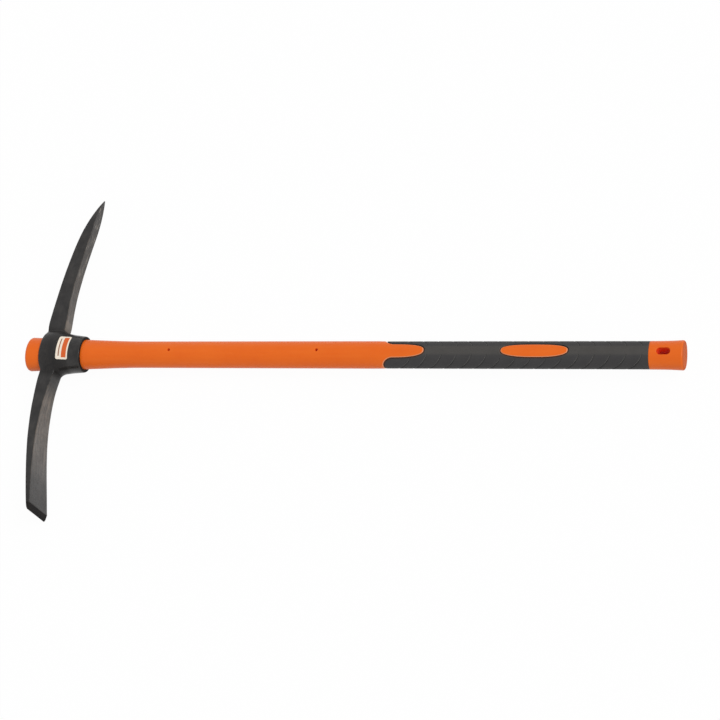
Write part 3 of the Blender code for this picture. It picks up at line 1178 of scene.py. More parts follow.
@dataclass(frozen=True)
class PrintedFilm:
    """A cream film with plain printed blocks, laid out on its UV map.

    An area is where it starts and ends across the film, and then along it.
    """

    SIDES = ("Left", "Right", "Bottom", "Top")

    ground: Colour = (0.88, 0.79, 0.66)
    block: Colour = (0.66, 0.115, 0.022)
    bar: Colour = (0.30, 0.13, 0.08)
    block_area: tuple[float, ...] = (0.48, 0.88, 0.07, 0.93)
    bar_area: tuple[float, ...] = (0.20, 0.30, 0.12, 0.88)
    dulling: float = 0.12
    roughness: Range = (0.38, 0.55)
    cloud_scale: float = 260.0
    grain_scale: float = 3000.0
    relief_depths: Depths = (0.00004, 0.00001)

    def _area_group(self) -> Tree:
        """A mask that is 1 inside an upright rectangle of the UV map.

        Returns:
            The group.
        """
        sockets = {"Place": "Vector"} | dict.fromkeys(self.SIDES, "Float")
        wiring = new_group("printed_area", "ShaderNodeTree", sockets, {"Mask": "Float"})
        given = wiring.add("NodeGroupInput").outputs
        place = wiring.split(given["Place"])
        tests = itertools.product("XY", ("GREATER_THAN", "LESS_THAN"))
        inside = [
            wiring.math(test, place[axis], given[side]) for (axis, test), side in zip(tests, self.SIDES)
        ]
        wiring.add("NodeGroupOutput", {0: functools.reduce(wiring.times, inside)})
        return wiring.tree

    def material(self, effects: Effects) -> Material:
        """Builds the material.

        Args:
            effects: The shared effects.

        Returns:
            The material.
        """
        wiring = FinishWiring("printed_film", Specular_IOR_Level=0.2)
        clouds = wiring.effect(effects.clouds, self.cloud_scale)["Mask"]
        grain = wiring.effect(effects.grain, self.grain_scale)["Height"]
        uv = wiring.add("ShaderNodeTexCoord").outputs["UV"]
        tree = self._area_group()
        prints = []
        for colour, area in ((self.block, self.block_area), (self.bar, self.bar_area)):
            inputs = {"Place": uv, **dict(zip(self.SIDES, area))}
            prints.append((wiring.add("ShaderNodeGroup", inputs, node_tree=tree).outputs["Mask"], colour))
        dulled = (wiring.times(clouds, self.dulling), self.bar)
        wiring.feed(
            Base_Color=wiring.layered(self.ground, *prints, dulled),
            Roughness=wiring.ranged(clouds, self.roughness),
        )
        wiring.relief((clouds, grain), self.relief_depths)
        return wiring.material


@dataclass
class FibreglassCore:
    """The rod inside the handle. Its end shows in the head end, a little way in."""

    axis: HandleAxis
    sweep: OvalSweep
    recess: float = 0.0010
    chamfer: float = 0.0004
    end_margin: float = 0.001
    pitch: float = 0.030
    sides: int = 72

    def build(self, material: Material) -> Object:
        """Builds the rod.

        Args:
            material: Its finish.

        Returns:
            The piece.
        """
        rod = (FORM.core_radius, FORM.core_radius)
        rim = grown(rod, -self.chamfer)
        start, end, margin = self.recess, FORM.core_length, self.end_margin
        stations = [
            (start, 0.0, 0.0),
            (start, *rim),
            (start + self.chamfer, *rod),
            *stations_along(start + margin, end - margin, lambda x: rod, self.pitch),
            (end - self.chamfer, *rod),
            (end, *rim),
            (end, 0.0, 0.0),
        ]
        mesh = self.sweep.skin(Part.CORE.value, stations, self.sides)
        piece = self.axis.finish("fibreglass_rod", mesh, material, Body.HANDLE)
        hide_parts(Part.CORE.value)
        return piece


@dataclass
class HandleJacket:
    """The orange moulding: flared head end, shaft, waist with its pads, and flared butt with the slot.

    Steps are the chords of a rounded edge or end. A pair that ends in "_from" is where a mark starts and where
    it is full.
    """

    axis: HandleAxis
    sweep: OvalSweep
    openings: GripOpenings
    end_rounding: float = 0.0042
    end_steps: int = 12
    bore_rounding: float = 0.0004
    bore_steps: int = 4
    bore_front: float = 0.002
    bore_pitch: float = 0.040
    butt_steps: int = 10
    pad_clearance: float = 0.0011
    pad_rounding: float = 0.0016
    shoulder_rounding: float = 0.0005
    shoulder_steps: int = 5
    shoulder_clear: float = 0.00002
    sleeve_front: float = 0.010
    sleeve_over: float = 0.006
    sleeve_pitch: float = 0.02
    pin_hole_radius: float = 0.0019
    pin_hole_rounding: float = 0.0004
    pin_hole_sides: int = 32
    pin_holes_at: tuple[float, ...] = (0.2138, 0.4237)
    slot_centre: Point = (0.875, -0.0010)
    slot_length: float = 0.0170
    slot_width: float = 0.0090
    slot_rounding: float = 0.0010
    slot_end_steps: int = 18
    hole_past: float = 0.004
    deep_from: Range = (0.0005, 0.0013)
    gap_from: Range = (0.0003, 0.0009)
    # Depths over which the painted highlight on the pads' edges starts and is full.
    rim_from: Range = (0.000005, 0.00006)
    scuffed_from: Range = (0.35, 0.85)
    # Where the painted shadow of the eye fades in along y, and its band's width and soft edge along x.
    grime_from: Range = (0.0120, 0.0050)
    grime_width: float = 0.0018
    grime_edge: float = 0.0006
    sides: int = 128

    def _stations(self) -> list[Station]:
        """The jacket's skin: up the bore, over the head end, along the outside and over the butt.

        Returns:
            The stations.
        """
        bore = FORM.core_radius + FORM.fit_gap
        bore_end = FORM.core_length + FORM.fit_gap
        rounding, support = self.end_rounding, EDGE_SUPPORT
        stations = [(bore_end, 0.0, 0.0)]
        stations += stations_along(bore_end, self.bore_front, lambda x: (bore, bore), self.bore_pitch)
        bore_edge = arc(self.bore_rounding, self.bore_steps)[::-1]
        stations += [(inward, bore + rise, bore + rise) for inward, rise in bore_edge]
        stations.append((0.0, *grown(FORM.head_end, -rounding - support)))
        end_edge = arc(rounding, self.end_steps)
        stations += [(inward, *grown(FORM.wedge_at(inward), -rise)) for inward, rise in end_edge]
        ring, past_ring = FORM.eye_left - self.grime_width, FORM.eye_left + self.grime_width
        stations += stations_along(rounding + support, ring - self.grime_width, FORM.jacket_at)
        stations += stations_along(ring, FORM.eye_left, FORM.jacket_at, self.grime_edge)
        stations += stations_along(past_ring, FORM.grip_end - support, FORM.jacket_at)
        butt_end = FORM.length - FORM.butt_rounding
        stations += stations_along(FORM.grip_end, butt_end - support, FORM.butt_at)
        for inward, rise in arc(FORM.butt_rounding, self.butt_steps)[::-1]:
            x = FORM.length - inward
            stations.append((x, *grown(FORM.butt_at(min(x, butt_end)), -rise)))
        face = grown(FORM.butt_at(butt_end), -FORM.butt_rounding - support)
        return [*stations, (FORM.length, *face), (FORM.length, 0.0, 0.0)]

    def _waist_sleeve(self) -> Mesh:
        """The solid that frees the waist, without the waist and its pads.

        Returns:
            The solid.
        """
        start, end, edge = FORM.grip_start - self.sleeve_front, FORM.grip_end, self.shoulder_rounding
        outside = grown(FORM.shaft, self.sleeve_over)
        shoulder = arc(edge, self.shoulder_steps)[::-1]
        section = [
            (start, *FORM.waist),
            *stations_along(start, end + edge, lambda x: outside, self.sleeve_pitch),
            *((end + inward, *grown(FORM.butt, -rise + self.shoulder_clear)) for inward, rise in shoulder),
            *stations_along(end, start, lambda x: FORM.waist, self.sleeve_pitch),
        ]
        sleeve = self.sweep.skin("waist_sleeve", section, self.sides)
        lip, rounding, clearance = Lip.INSIDE, self.pad_rounding, self.pad_clearance
        return cut(sleeve, self.openings.plugs("pads", FORM.jacket_at, lip, rounding, clearance))

    def _hang_slot(self) -> Mesh:
        """The hang slot's solid: two half circles joined by straight sides, with rounded rims.

        Returns:
            The solid.
        """

        def plan_at(growth: float) -> Plan:
            """The outline in plan.

            Args:
                growth: How much wider it gets, all round.

            Returns:
                Its points.
            """
            radius, offset = self.slot_width / 2 + growth, (self.slot_length - self.slot_width) / 2
            x, y = self.slot_centre
            plan = []
            for centre, first in ((x + offset, -90), (x - offset, 90)):
                for step in range(self.slot_end_steps + 1):
                    angle = math.radians(first + 180 / self.slot_end_steps * step)
                    plan.append((centre + radius * math.cos(angle), y + radius * math.sin(angle)))
            return plan

        return self._through("hang_slot", plan_at, FORM.butt_at, self.slot_rounding)

    def _pin_hole(self, centre: float) -> Mesh:
        """The solid of a hole that one of the mould's locating pins left.

        Args:
            centre: x of the hole's centre.

        Returns:
            The solid.
        """

        def plan_at(growth: float) -> Plan:
            """The outline in plan.

            Args:
                growth: How much wider it gets, all round.

            Returns:
                Its points.
            """
            radius, sides = self.pin_hole_radius + growth, self.pin_hole_sides
            turns = [math.tau * i / sides for i in range(sides)]
            return [(centre + radius * math.cos(turn), radius * math.sin(turn)) for turn in turns]

        return self._through("pin_hole", plan_at, FORM.wedge_at, self.pin_hole_rounding)

    def _through(self, name: str, plan_at: PlanAt, half_at: HalfAt, rounding: float) -> Mesh:
        """A solid through the handle from face to face.

        Args:
            name: What it is called.
            plan_at: Its outline in plan for a growth.
            half_at: The handle's half size at x.
            rounding: The radius of the hole's rims.

        Returns:
            The solid.
        """
        outlines = (SurfaceOutline.in_plan(plan_at, face, half_at, upright=True) for face in Face)
        past = self.hole_past
        upper, lower = (outline.plug(Lip.OUTSIDE, rounding, 0.0, past, past) for outline in outlines)
        return skinned(name, upper[::-1] + lower)

    def _mark(self, mesh: Mesh) -> None:
        """Stores what the finish depends on at each vertex.

        "deep" is 1 in the hang slot and the pin holes, for a painted tint of the light bounced inside them,
        "gap" is painted shade in the narrow clearance beside the pads, "rim" is a painted highlight on the
        pads' rounded edges,
        "scuffed" is on the butt's end and "grimy" is a painted shadow of the head's eye along its edge.

        Args:
            mesh: The jacket.
        """
        deep, gap, rim, scuffed, grimy = [], [], [], [], []
        ring = FORM.eye_left - self.grime_width
        butt_end = FORM.length - FORM.butt_rounding
        pads_from = FORM.grip_start - self.pad_clearance - self.pad_rounding
        for vertex in mesh.vertices:
            x, y, z = vertex.co
            half = FORM.butt_at(x) if x > FORM.grip_end else FORM.jacket_at(x)
            depth = half[1] * (1 - math.hypot(y / half[0], z / half[1]))
            inside = self.end_rounding < x < butt_end
            padded = pads_from < x < FORM.grip_end
            along_eye = ring < x < FORM.eye_left + self.grime_width
            # Painted tint of the bounced light inside the slot and pin holes, fuller the deeper it lies.
            deep.append(smooth_step(depth, *self.deep_from) if inside and not padded else 0.0)
            # Painted shade in the clearance beside the pads, full a little below the surface.
            gap.append(smooth_step(depth, *self.gap_from) if padded else 0.0)
            # Painted highlight on the pads' rounded edges.
            rim.append(smooth_step(depth, *self.rim_from) if padded else 0.0)
            scuffed.append(smooth_step(vertex.normal.x, *self.scuffed_from) if x > butt_end else 0.0)
            # Painted shadow of the head's eye: a band just before the eye, fading out towards +y.
            grime = smooth_step(x, ring, ring + self.grime_edge) * smooth_step(y, *self.grime_from)
            grimy.append(grime if along_eye else 0.0)
        store(mesh, deep=deep, gap=gap, rim=rim, scuffed=scuffed, grimy=grimy)

    def build(self, material: Material) -> Object:
        """Builds the jacket.

        Args:
            material: Its finish.

        Returns:
            The piece.
        """
        solid = self.sweep.skin(Part.JACKET.value, self._stations(), self.sides)
        holes = [self._hang_slot(), *(self._pin_hole(x) for x in self.pin_holes_at)]
        mesh = cut(solid, [*holes, self._waist_sleeve()])
        self._mark(mesh)
        piece = self.axis.finish("orange_jacket", mesh, material, Body.HANDLE)
        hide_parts(Part.JACKET.value)
        return piece


@dataclass
class SoftGrip:
    """The sleeve in the jacket's waist, with its openings and tread grooves.

    A groove's profile is how far out and how deep it is, as shares of its half width and its depth. The
    marks' pairs are where each starts and where it is full. The depths of the painted highlight on the
    grooves' walls are such shares too.
    """

    axis: HandleAxis
    sweep: OvalSweep
    row: GrooveRow
    openings: GripOpenings
    front_lap: float = 0.002
    lip_rounding: float = 0.0006
    rear_rounding: float = 0.0008
    rear_steps: int = 6
    inside_margin: float = 0.01
    inside_pitch: float = 0.02
    groove_pitch: float = 0.0197
    groove_count: int = 16
    first_groove: float = 0.5385
    groove_reach: float = 0.0151
    groove_short_reach: float = 0.0128
    groove_clearance: float = 0.003
    groove_half_width: float = 0.0015
    groove_depth: float = 0.0014
    groove_lip: float = 0.0004
    groove_runout: float = 0.6
    groove_runout_power: int = 4
    groove_steps: int = 20
    groove_profile: Table = ((0.0, 1.0), (0.22, 0.88), (0.80, 0.16), (1.0, 0.0))
    tread_from: Range = (0.980, 0.905)
    dusty_depths: Range = (0.05, 0.4)
    dusty_facing: Range = (0.05, 0.40)
    sides: int = 128

    def _stations(self) -> list[Station]:
        """The sleeve's skin: along the outside, over the rear edge and back inside.

        Returns:
            The stations.
        """
        start, end = FORM.grip_start - self.front_lap, FORM.grip_end - FORM.fit_gap
        rear = arc(self.rear_rounding, self.rear_steps)[::-1]
        inside = grown(FORM.waist, FORM.fit_gap)
        return [
            *stations_along(start, end - self.rear_rounding - EDGE_SUPPORT, FORM.grip_at),
            *((end - inward, *grown(FORM.grip, -rise)) for inward, rise in rear),
            (end, *inside),
            *stations_along(end - self.inside_margin, start, lambda x: inside, self.inside_pitch),
            (start, *FORM.grip),
        ]

    def _reach(self, middle: float, end: int) -> float:
        """How far a groove runs up or down the flank. It stops short beside the openings.

        Args:
            middle: x where it crosses the middle of the flank.
            end: 1 for up and -1 for down.

        Returns:
            How far it runs from there.
        """
        x = middle + end * self.groove_reach
        beside_tongue = x < self.openings.tongue_end + self.groove_clearance
        past_centre = abs(x - self.openings.window_centre)
        beside_window = past_centre < self.openings.window_half[0] + self.groove_clearance
        return self.groove_short_reach if beside_tongue or beside_window else self.groove_reach

    def _blade(self, bottom: float, top: float) -> Mesh:
        """A groove's solid at x = 0: a V that climbs the flank at 45 degrees and runs out at both ends.

        Args:
            bottom: z of its lower end.
            top: z of its upper end.

        Returns:
            The solid.
        """
        half_width, half_thickness = FORM.grip
        lip, wide, deep = self.groove_lip, self.groove_half_width, self.groove_depth
        rings = []
        for step in range(self.groove_steps + 1):
            share = 2 * step / self.groove_steps - 1
            z = bottom + (top - bottom) * step / self.groove_steps
            y = half_width * math.sqrt(1 - (z / half_thickness) ** 2)
            normal = Vector((0.0, y / half_width**2, z / half_thickness**2)).normalized()
            across = Vector((1.0, -normal.z / normal.y, 1.0)).cross(normal).normalized()
            size = 1 - self.groove_runout * share**self.groove_runout_power
            side = [(out * wide * size, down * deep * size) for out, down in self.groove_profile]
            side.append((wide * size + lip, -lip))
            section = [*side, *((-out, down) for out, down in side[:0:-1])]
            middle = Vector((z, y, z))
            rings.append([middle + across * out - normal * down for out, down in section])
        return skinned("tread_groove", rings)

    def _grooves(self) -> list[Mesh]:
        """The solids of all grooves, one mesh for each run of grooves of one kind.

        Returns:
            The solids.
        """
        places = [self.first_groove + self.groove_pitch * number for number in range(self.groove_count)]
        runs = itertools.groupby(places, lambda x: (-self._reach(x, -1), self._reach(x, 1)))
        rows = []
        for ends, run in runs:
            middles = list(run)
            rows.append(self.row.repeat(self._blade(*ends), len(middles), middles[0], self.groove_pitch))
        return rows

    def _mark(self, mesh: Mesh) -> None:
        """Stores the coarser flanks as "tread", and as "dusty" the grooves' walls that face the butt, for a
        painted highlight.

        Args:
            mesh: The sleeve.
        """
        half_width, half_thickness = FORM.grip
        dusty_from = [share * self.groove_depth for share in self.dusty_depths]
        tread, dusty = [], []
        for vertex in mesh.vertices:
            _, y, z = vertex.co
            tread.append(smooth_step(abs(z) / half_thickness, *self.tread_from))
            depth = half_width * (1 - math.hypot(y / half_width, z / half_thickness))
            # Painted highlight on the grooves' walls that face the butt and the light.
            dusty.append(smooth_step(depth, *dusty_from) * smooth_step(vertex.normal.x, *self.dusty_facing))
        store(mesh, tread=tread, dusty=dusty)

    def build(self, material: Material) -> Object:
        """Builds the grip.

        Args:
            material: Its finish.

        Returns:
            The piece.
        """
        sleeve = self.sweep.skin(Part.GRIP.value, self._stations(), self.sides)
        plugs = self.openings.plugs("openings", FORM.grip_at, Lip.OUTSIDE, self.lip_rounding)
        mesh = cut(sleeve, [*plugs, *self._grooves()])
        self._mark(mesh)
        piece = self.axis.finish("grip_sleeve", mesh, material, Body.HANDLE)
        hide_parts(Part.GRIP.value)
        return piece


@dataclass(frozen=True)
class Arm:
    """One arm of the head, drawn out of the eye on one side of the handle: 1 for +Y and -1 for -Y.

    A station is its reach from the handle's axis, x of its outer and inner faces, and its half thickness.
    """

    side: int
    root_half: float
    root_crease: float
    stations: Stations

    def half_ring(self, station: tuple[float, ...]) -> Ring:
        """The upper half of a section of its cage, from the outer face over the side to the inner face.

        Args:
            station: The section's station.

        Returns:
            Its corners.
        """
        reach, outer, inner, half = station
        corners = ((outer, 0.0), (outer, half), ((outer + inner) / 2, half), (inner, half), (inner, 0.0))
        return [Vector((x, self.side * reach, z)) for x, z in corners]

    def middle(self) -> Plan:
        """Where its middle line runs, as y and x."""
        return [(self.side * reach, (outer + inner) / 2) for reach, outer, inner, _ in self.stations]


@dataclass
class PickHead:
    """The forging: an eye with a point arm and a chisel arm, drawn from a cage of half of it.

    An eye station is x, the half widths towards the point and the chisel, and the half thickness. A pair that
    ends in "_from" is where a mark starts and where it is full. A pair that ends in "_turned" is a share on
    faces that are turned away from the butt, and what is added on those that face it.
    """

    axis: HandleAxis
    sweep: OvalSweep
    eye_stations: Stations = (
        (0.0230, 0.0300, 0.0276, 0.0214),
        (0.0252, 0.0326, 0.0298, 0.0226),
        (0.0360, 0.0348, 0.0336, 0.0236),
        (0.0485, 0.0325, 0.0311, 0.0236),
        (0.0560, 0.0292, 0.0283, 0.0231),
        (0.0730, 0.0265, 0.0266, 0.0222),
        (0.0815, 0.0257, 0.0262, 0.0217),
        (0.0844, 0.0250, 0.0257, 0.0212),
    )
    root_stations: tuple[int, ...] = (1, 2, 3)
    widest_station: int = 2
    point: Arm = Arm(
        side=1,
        root_half=0.0093,
        root_crease=0.55,
        stations=(
            (0.0410, 0.0222, 0.0500, 0.0094),
            (0.0780, 0.0257, 0.0471, 0.0096),
            (0.1150, 0.0293, 0.0493, 0.0093),
            (0.1530, 0.0350, 0.0534, 0.0088),
            (0.1830, 0.0415, 0.0574, 0.0090),
            (0.2030, 0.0492, 0.0591, 0.0094),
            (0.2180, 0.0549, 0.0605, 0.0073),
            (0.2300, 0.0588, 0.0621, 0.0038),
            (0.2384, 0.0621, 0.0629, 0.0006),
        ),
    )
    chisel: Arm = Arm(
        side=-1,
        root_half=0.0120,
        root_crease=0.0,
        stations=(
            (0.0480, 0.0243, 0.0437, 0.0122),
            (0.0870, 0.0267, 0.0421, 0.0155),
            (0.1230, 0.0319, 0.0439, 0.0190),
            (0.1590, 0.0396, 0.0493, 0.0227),
            (0.1940, 0.0487, 0.0559, 0.0257),
            (0.2240, 0.0566, 0.0620, 0.0272),
            (0.2313, 0.0591, 0.0609, 0.0272),
            (0.2333, 0.0598, 0.0605, 0.0250),
        ),
    )
    bevel_station: int = 5
    bevel_margin: float = 0.2 * MILLIMETRE
    arm_crease: float = 0.75
    cage_swell: float = 1.03
    cheek_faces: int = 5
    rim_inset: float = 0.0030
    rim_lean: float = 0.05
    rim_rounding: float = 0.0009
    rim_steps: int = 6
    eye_past: float = 0.004
    eye_pitch: float = 0.006
    eye_sides: int = 128
    halves_meet: float = 0.1 * MILLIMETRE
    levels: int = 4
    uneven_scales: Pair = (42.0, 130.0)
    uneven_fine_share: float = 0.45
    uneven_depth: float = 0.00013
    uneven_power: int = 6
    edge_radii: Range = (0.0010, 0.0060)
    edge_spread: int = 2
    # Hollows whose gloss is taken off as painted shade.
    hollow_radii: Range = (0.0090, 0.0220)
    hollow_spread: int = 8
    hollow_from: Range = (0.0660, 0.0560)
    hollow_turned: Pair = (0.35, 0.65)
    shortest_face: float = 0.05 * MILLIMETRE
    rim_facing_from: Range = (0.45, 0.80)
    rim_reach_from: Range = (0.034, 0.030)
    dull_eye_from: Range = (0.0400, 0.0300)
    dull_collar_from: Range = (0.0690, 0.0630)
    dull_turned: Pair = (0.35, 0.4)
    dull_end_from: Range = (-0.1650, -0.2240)
    dull_end: float = 0.25
    nicked_from: Range = (0.0650, 0.1050)
    nicked_inside: float = 0.8
    # How far the inner faces are made lighter along y: partly wear, partly painted light.
    rubbed_along: Table = (
        (-0.2330, 0.05),
        (-0.1900, 0.09),
        (-0.1500, 0.42),
        (-0.1100, 0.52),
        (-0.0700, 0.56),
        (-0.0420, 0.00),
        (0.0325, 0.00),
        # The steep rise at the point's root is a painted highlight.
        (0.0345, 2.60),
        (0.0410, 1.80),
        (0.0500, 0.40),
        (0.1200, 0.24),
        (0.1800, 0.10),
        (0.2384, 0.05),
    )

    def _lean_at(self, x: float) -> float:
        """How far the head-end rim leans out at x, as a share of the width on the point's side."""
        reach = self.eye_stations[self.widest_station][0] - FORM.eye_left
        return self.rim_lean * min(1.0, max(0.0, 1 - (x - FORM.eye_left) / reach))

    def _eye_half_ring(self, station: tuple[float, ...], shrink: float = 0.0) -> Ring:
        """The upper half of a section of the eye's cage, from the point over the cheek to the chisel.

        Args:
            station: The section's station.
            shrink: How much smaller it is, all round.

        Returns:
            Its corners.
        """
        x, to_point, to_chisel, thick = station
        height = (thick - shrink) * self.cage_swell
        first = math.asin(self.point.root_half / height)
        last = math.pi - math.asin(self.chisel.root_half / height)
        cheek = [first + (last - first) * step / self.cheek_faces for step in range(self.cheek_faces + 1)]
        ring = []
        for angle in (0.0, *cheek, math.pi):
            width = (to_point if math.cos(angle) > 0 else to_chisel) - shrink
            y = width * self.cage_swell * math.cos(angle)
            ring.append(Vector((x - self._lean_at(x) * max(y, 0.0), y, height * math.sin(angle))))
        return ring

    def _add_arm(self, bm: bmesh.types.BMesh, root: Corners, arm: Arm) -> list[Corners]:
        """Draws an arm out of the eye's flank and closes its end.

        Args:
            bm: The cage.
            root: The corners that the arm starts from.
            arm: The arm.

        Returns:
            The arm's rows of corners.
        """
        creases = bm.edges.layers.float["crease_edge"]
        for pair in itertools.pairwise(root):
            bm.edges.get(pair)[creases] = arm.root_crease
        rows = [root]
        for station in arm.stations:
            row = rows[-1]
            following = [bm.verts.new(point) for point in arm.half_ring(station)]
            for i in range(len(row) - 1):
                bm.faces.new((row[i], row[i + 1], following[i + 1], following[i]))
            for corner in (1, 3):
                bm.edges.get((row[corner], following[corner]))[creases] = self.arm_crease
            rows.append(following)
        bm.faces.new(rows[-1])
        for pair in itertools.pairwise(rows[-1]):
            bm.edges.get(pair)[creases] = 1.0
        return rows

    def _cage(self) -> Mesh:
        """The upper half of the head's cage, open at the plane of the arms.

        Returns:
            The cage.
        """
        bm = bmesh.new()
        creases = bm.edges.layers.float.new("crease_edge")
        ends = [self._eye_half_ring(self.eye_stations[i], self.rim_inset) for i in (0, -1)]
        sections = [ends[0], *(self._eye_half_ring(station) for station in self.eye_stations), ends[1]]
        rows = [[bm.verts.new(point) for point in section] for section in sections]
        last = len(rows[0]) - 1
        for i, (row, following) in enumerate(itertools.pairwise(rows)):
            under_arm = self.root_stations[0] <= i - 1 < self.root_stations[-1]
            for k in range(1, last - 1) if under_arm else range(last):
                bm.faces.new((row[k], row[k + 1], following[k + 1], following[k]))
        bm.faces.new(rows[0])
        bm.faces.new(rows[-1])
        roots = [rows[station + 1] for station in self.root_stations]
        for flank, edge, arm in ((0, 1, self.point), (last, last - 1, self.chisel)):
            root = [roots[0][flank], *(row[edge] for row in roots), roots[-1][flank]]
            drawn = self._add_arm(bm, root, arm)
        # The chisel is drawn last. Its bevel starts at a sharp line across the inner face.
        bm.edges.get(drawn[self.bevel_station + 1][3:])[creases] = 1.0
        return written(Part.HEAD.value, bm)

    def _forging(self) -> Mesh:
        """The head as it comes out of the die: subdivided, mirrored and slightly uneven.

        Returns:
            The mesh.
        """
        obj = new_object(Part.HEAD.value, self._cage())
        mirror = obj.modifiers.new("both_halves", "MIRROR")
        mirror.use_axis = (False, False, True)
        mirror.merge_threshold = self.halves_meet
        smooth = obj.modifiers.new("forged_form", "SUBSURF")
        smooth.levels = smooth.render_levels = self.levels
        mesh = evaluated(obj)
        reach = self.point.stations[-1][0]
        coarse, fine = self.uneven_scales
        normals = [vertex.normal.copy() for vertex in mesh.vertices]
        for vertex, normal in zip(mesh.vertices, normals):
            swell = noise.noise(vertex.co * coarse) + self.uneven_fine_share * noise.noise(vertex.co * fine)
            towards_tip = abs(vertex.co.y) / reach
            depth = self.uneven_depth * (1 + swell) * max(0.0, 1 - towards_tip**self.uneven_power)
            vertex.co -= normal * max(0.0, depth)
        return mesh

    def _tapered_eye(self) -> Mesh:
        """The solid of the eye's hole, which follows the handle's wedge and rounds both rims.

        Returns:
            The solid.
        """
        left, right = FORM.eye_left, self.eye_stations[-1][0]
        rounding, past = self.rim_rounding, self.eye_past
        margin = rounding + EDGE_SUPPORT

        def hole_at(x: float) -> Half:
            """Half size of the hole at x."""
            return grown(FORM.wedge_at(x), FORM.fit_gap)

        rims = arc(rounding, self.rim_steps)
        stations = [(left - past, 0.0, 0.0), (left - past, *grown(hole_at(left), rounding + past / 2))]
        stations += [(left + inward, *grown(hole_at(left + inward), rise)) for inward, rise in rims]
        stations += stations_along(left + margin, right - margin, hole_at, self.eye_pitch)
        stations += [(right - inward, *grown(hole_at(right - inward), rise)) for inward, rise in rims[::-1]]
        stations += [(right + past, *grown(hole_at(right), rounding + past / 2)), (right + past, 0.0, 0.0)]
        mesh = self.sweep.skin("tapered_eye", stations, self.eye_sides)
        for vertex in mesh.vertices:
            vertex.co.x -= self._lean_at(vertex.co.x) * max(vertex.co.y, 0.0)
        return mesh

    def _turning(self, bm: bmesh.types.BMesh, sense: int, radii: Range, spread: int) -> list[float]:
        """How tightly the surface turns at each vertex, from 0 to 1.

        Args:
            bm: The surface.
            sense: 1 for outwards, as over an edge, and -1 for inwards, as in a hollow.
            radii: The radius that counts as 1, and the one that counts as 0.
            spread: How many times each vertex is evened out with its neighbours.

        Returns:
            The vertices' values.
        """
        tightest, widest = (1 / radius for radius in radii)
        bends = []
        for vert in bm.verts:
            bend = 0.0
            for edge in vert.link_edges:
                middles = [face.calc_center_median() for face in edge.link_faces]
                across = max((middles[0] - middles[1]).length, self.shortest_face)
                bend = max(bend, sense * edge.calc_face_angle_signed(0.0) / across)
            bends.append(min(1.0, max(0.0, (bend - widest) / (tightest - widest))))
        for _ in range(spread):
            means = [
                sum(bends[edge.other_vert(vert).index] for edge in vert.link_edges) / len(vert.link_edges)
                for vert in bm.verts
            ]
            bends = [(bend + mean) / 2 for bend, mean in zip(bends, means)]
        return bends

    def _mark(self, mesh: Mesh) -> None:
        """Stores what the finish depends on at each vertex.

        "edge" is 1 on convex edges, which the finish makes lighter partly as wear and partly as a painted
        highlight, and "hollow" in hollows, whose gloss is taken off as painted shade. "dull" is how far the
        lacquer has lost its gloss; on the eye's rims that is painted shade, which makes them dark. "rubbed" is
        how far the arms' inner faces are made lighter, partly as wear and partly as painted light where they
        face the butt, with a painted highlight at the point's root, and "nicked" where the point has fine
        nicks. "track" is how far the vertex is from the arms' middle line along x, which keeps the marks in
        line with the arms.

        Args:
            mesh: The head.
        """

        def turned(shares: Pair, inwards: float) -> float:
            """A share on a face that faces the butt by so much."""
            return shares[0] + shares[1] * inwards

        bm = bmesh.new()
        bm.from_mesh(mesh)
        edges = self._turning(bm, 1, self.edge_radii, self.edge_spread)
        hollows = self._turning(bm, -1, self.hollow_radii, self.hollow_spread)
        bevel = -self.chisel.stations[self.bevel_station][0] - self.bevel_margin
        middle = sorted(self.point.middle() + self.chisel.middle())
        dull, nicked, rubbed, track = [], [], [], []
        for i, vert in enumerate(bm.verts):
            x, y, _ = vert.co
            facing = vert.normal.x
            inwards = max(0.0, facing)
            on_eye = smooth_step(abs(y), *self.dull_eye_from) * smooth_step(x, *self.dull_collar_from)
            # The eye's rims lose their gloss and their edge lightening, as painted shade that makes them dark.
            on_rim = smooth_step(abs(facing), *self.rim_facing_from)
            on_rim *= smooth_step(abs(y), *self.rim_reach_from)
            on_bevel = y < bevel
            edges[i] *= 1 - on_rim
            # Hollows near the eye, more where they face the butt: their gloss is taken off as painted shade.
            hollows[i] *= turned(self.hollow_turned, inwards) * smooth_step(x, *self.hollow_from)
            towards_end = self.dull_end * smooth_step(y, *self.dull_end_from)
            dull.append(max(on_eye * turned(self.dull_turned, inwards), on_rim, float(on_bevel), towards_end))
            exposed = max(self.nicked_inside * inwards, edges[i])
            nicked.append(exposed * smooth_step(y, *self.nicked_from))
            # Lighter where the inner faces face the butt: partly wear, partly painted light.
            rubbed.append(0.0 if on_bevel else min(1.0, inwards * looked_up(self.rubbed_along, y)))
            track.append(x - looked_up(middle, y))
        store(mesh, edge=edges, hollow=hollows, dull=dull, nicked=nicked, rubbed=rubbed, track=track)
        bm.free()

    def build(self, material: Material) -> tuple[Object, BVHTree]:
        """Builds the head.

        Args:
            material: Its finish.

        Returns:
            The piece, and its surface round the handle's axis, for what is stuck on it.
        """
        mesh = cut(self._forging(), [self._tapered_eye()])
        self._mark(mesh)
        bm = bmesh.new()
        bm.from_mesh(mesh)
        surface = BVHTree.FromBMesh(bm)
        bm.free()
        piece = self.axis.finish("forged_head", mesh, material, Body.HEAD)
        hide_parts(Part.HEAD.value)
        return piece, surface


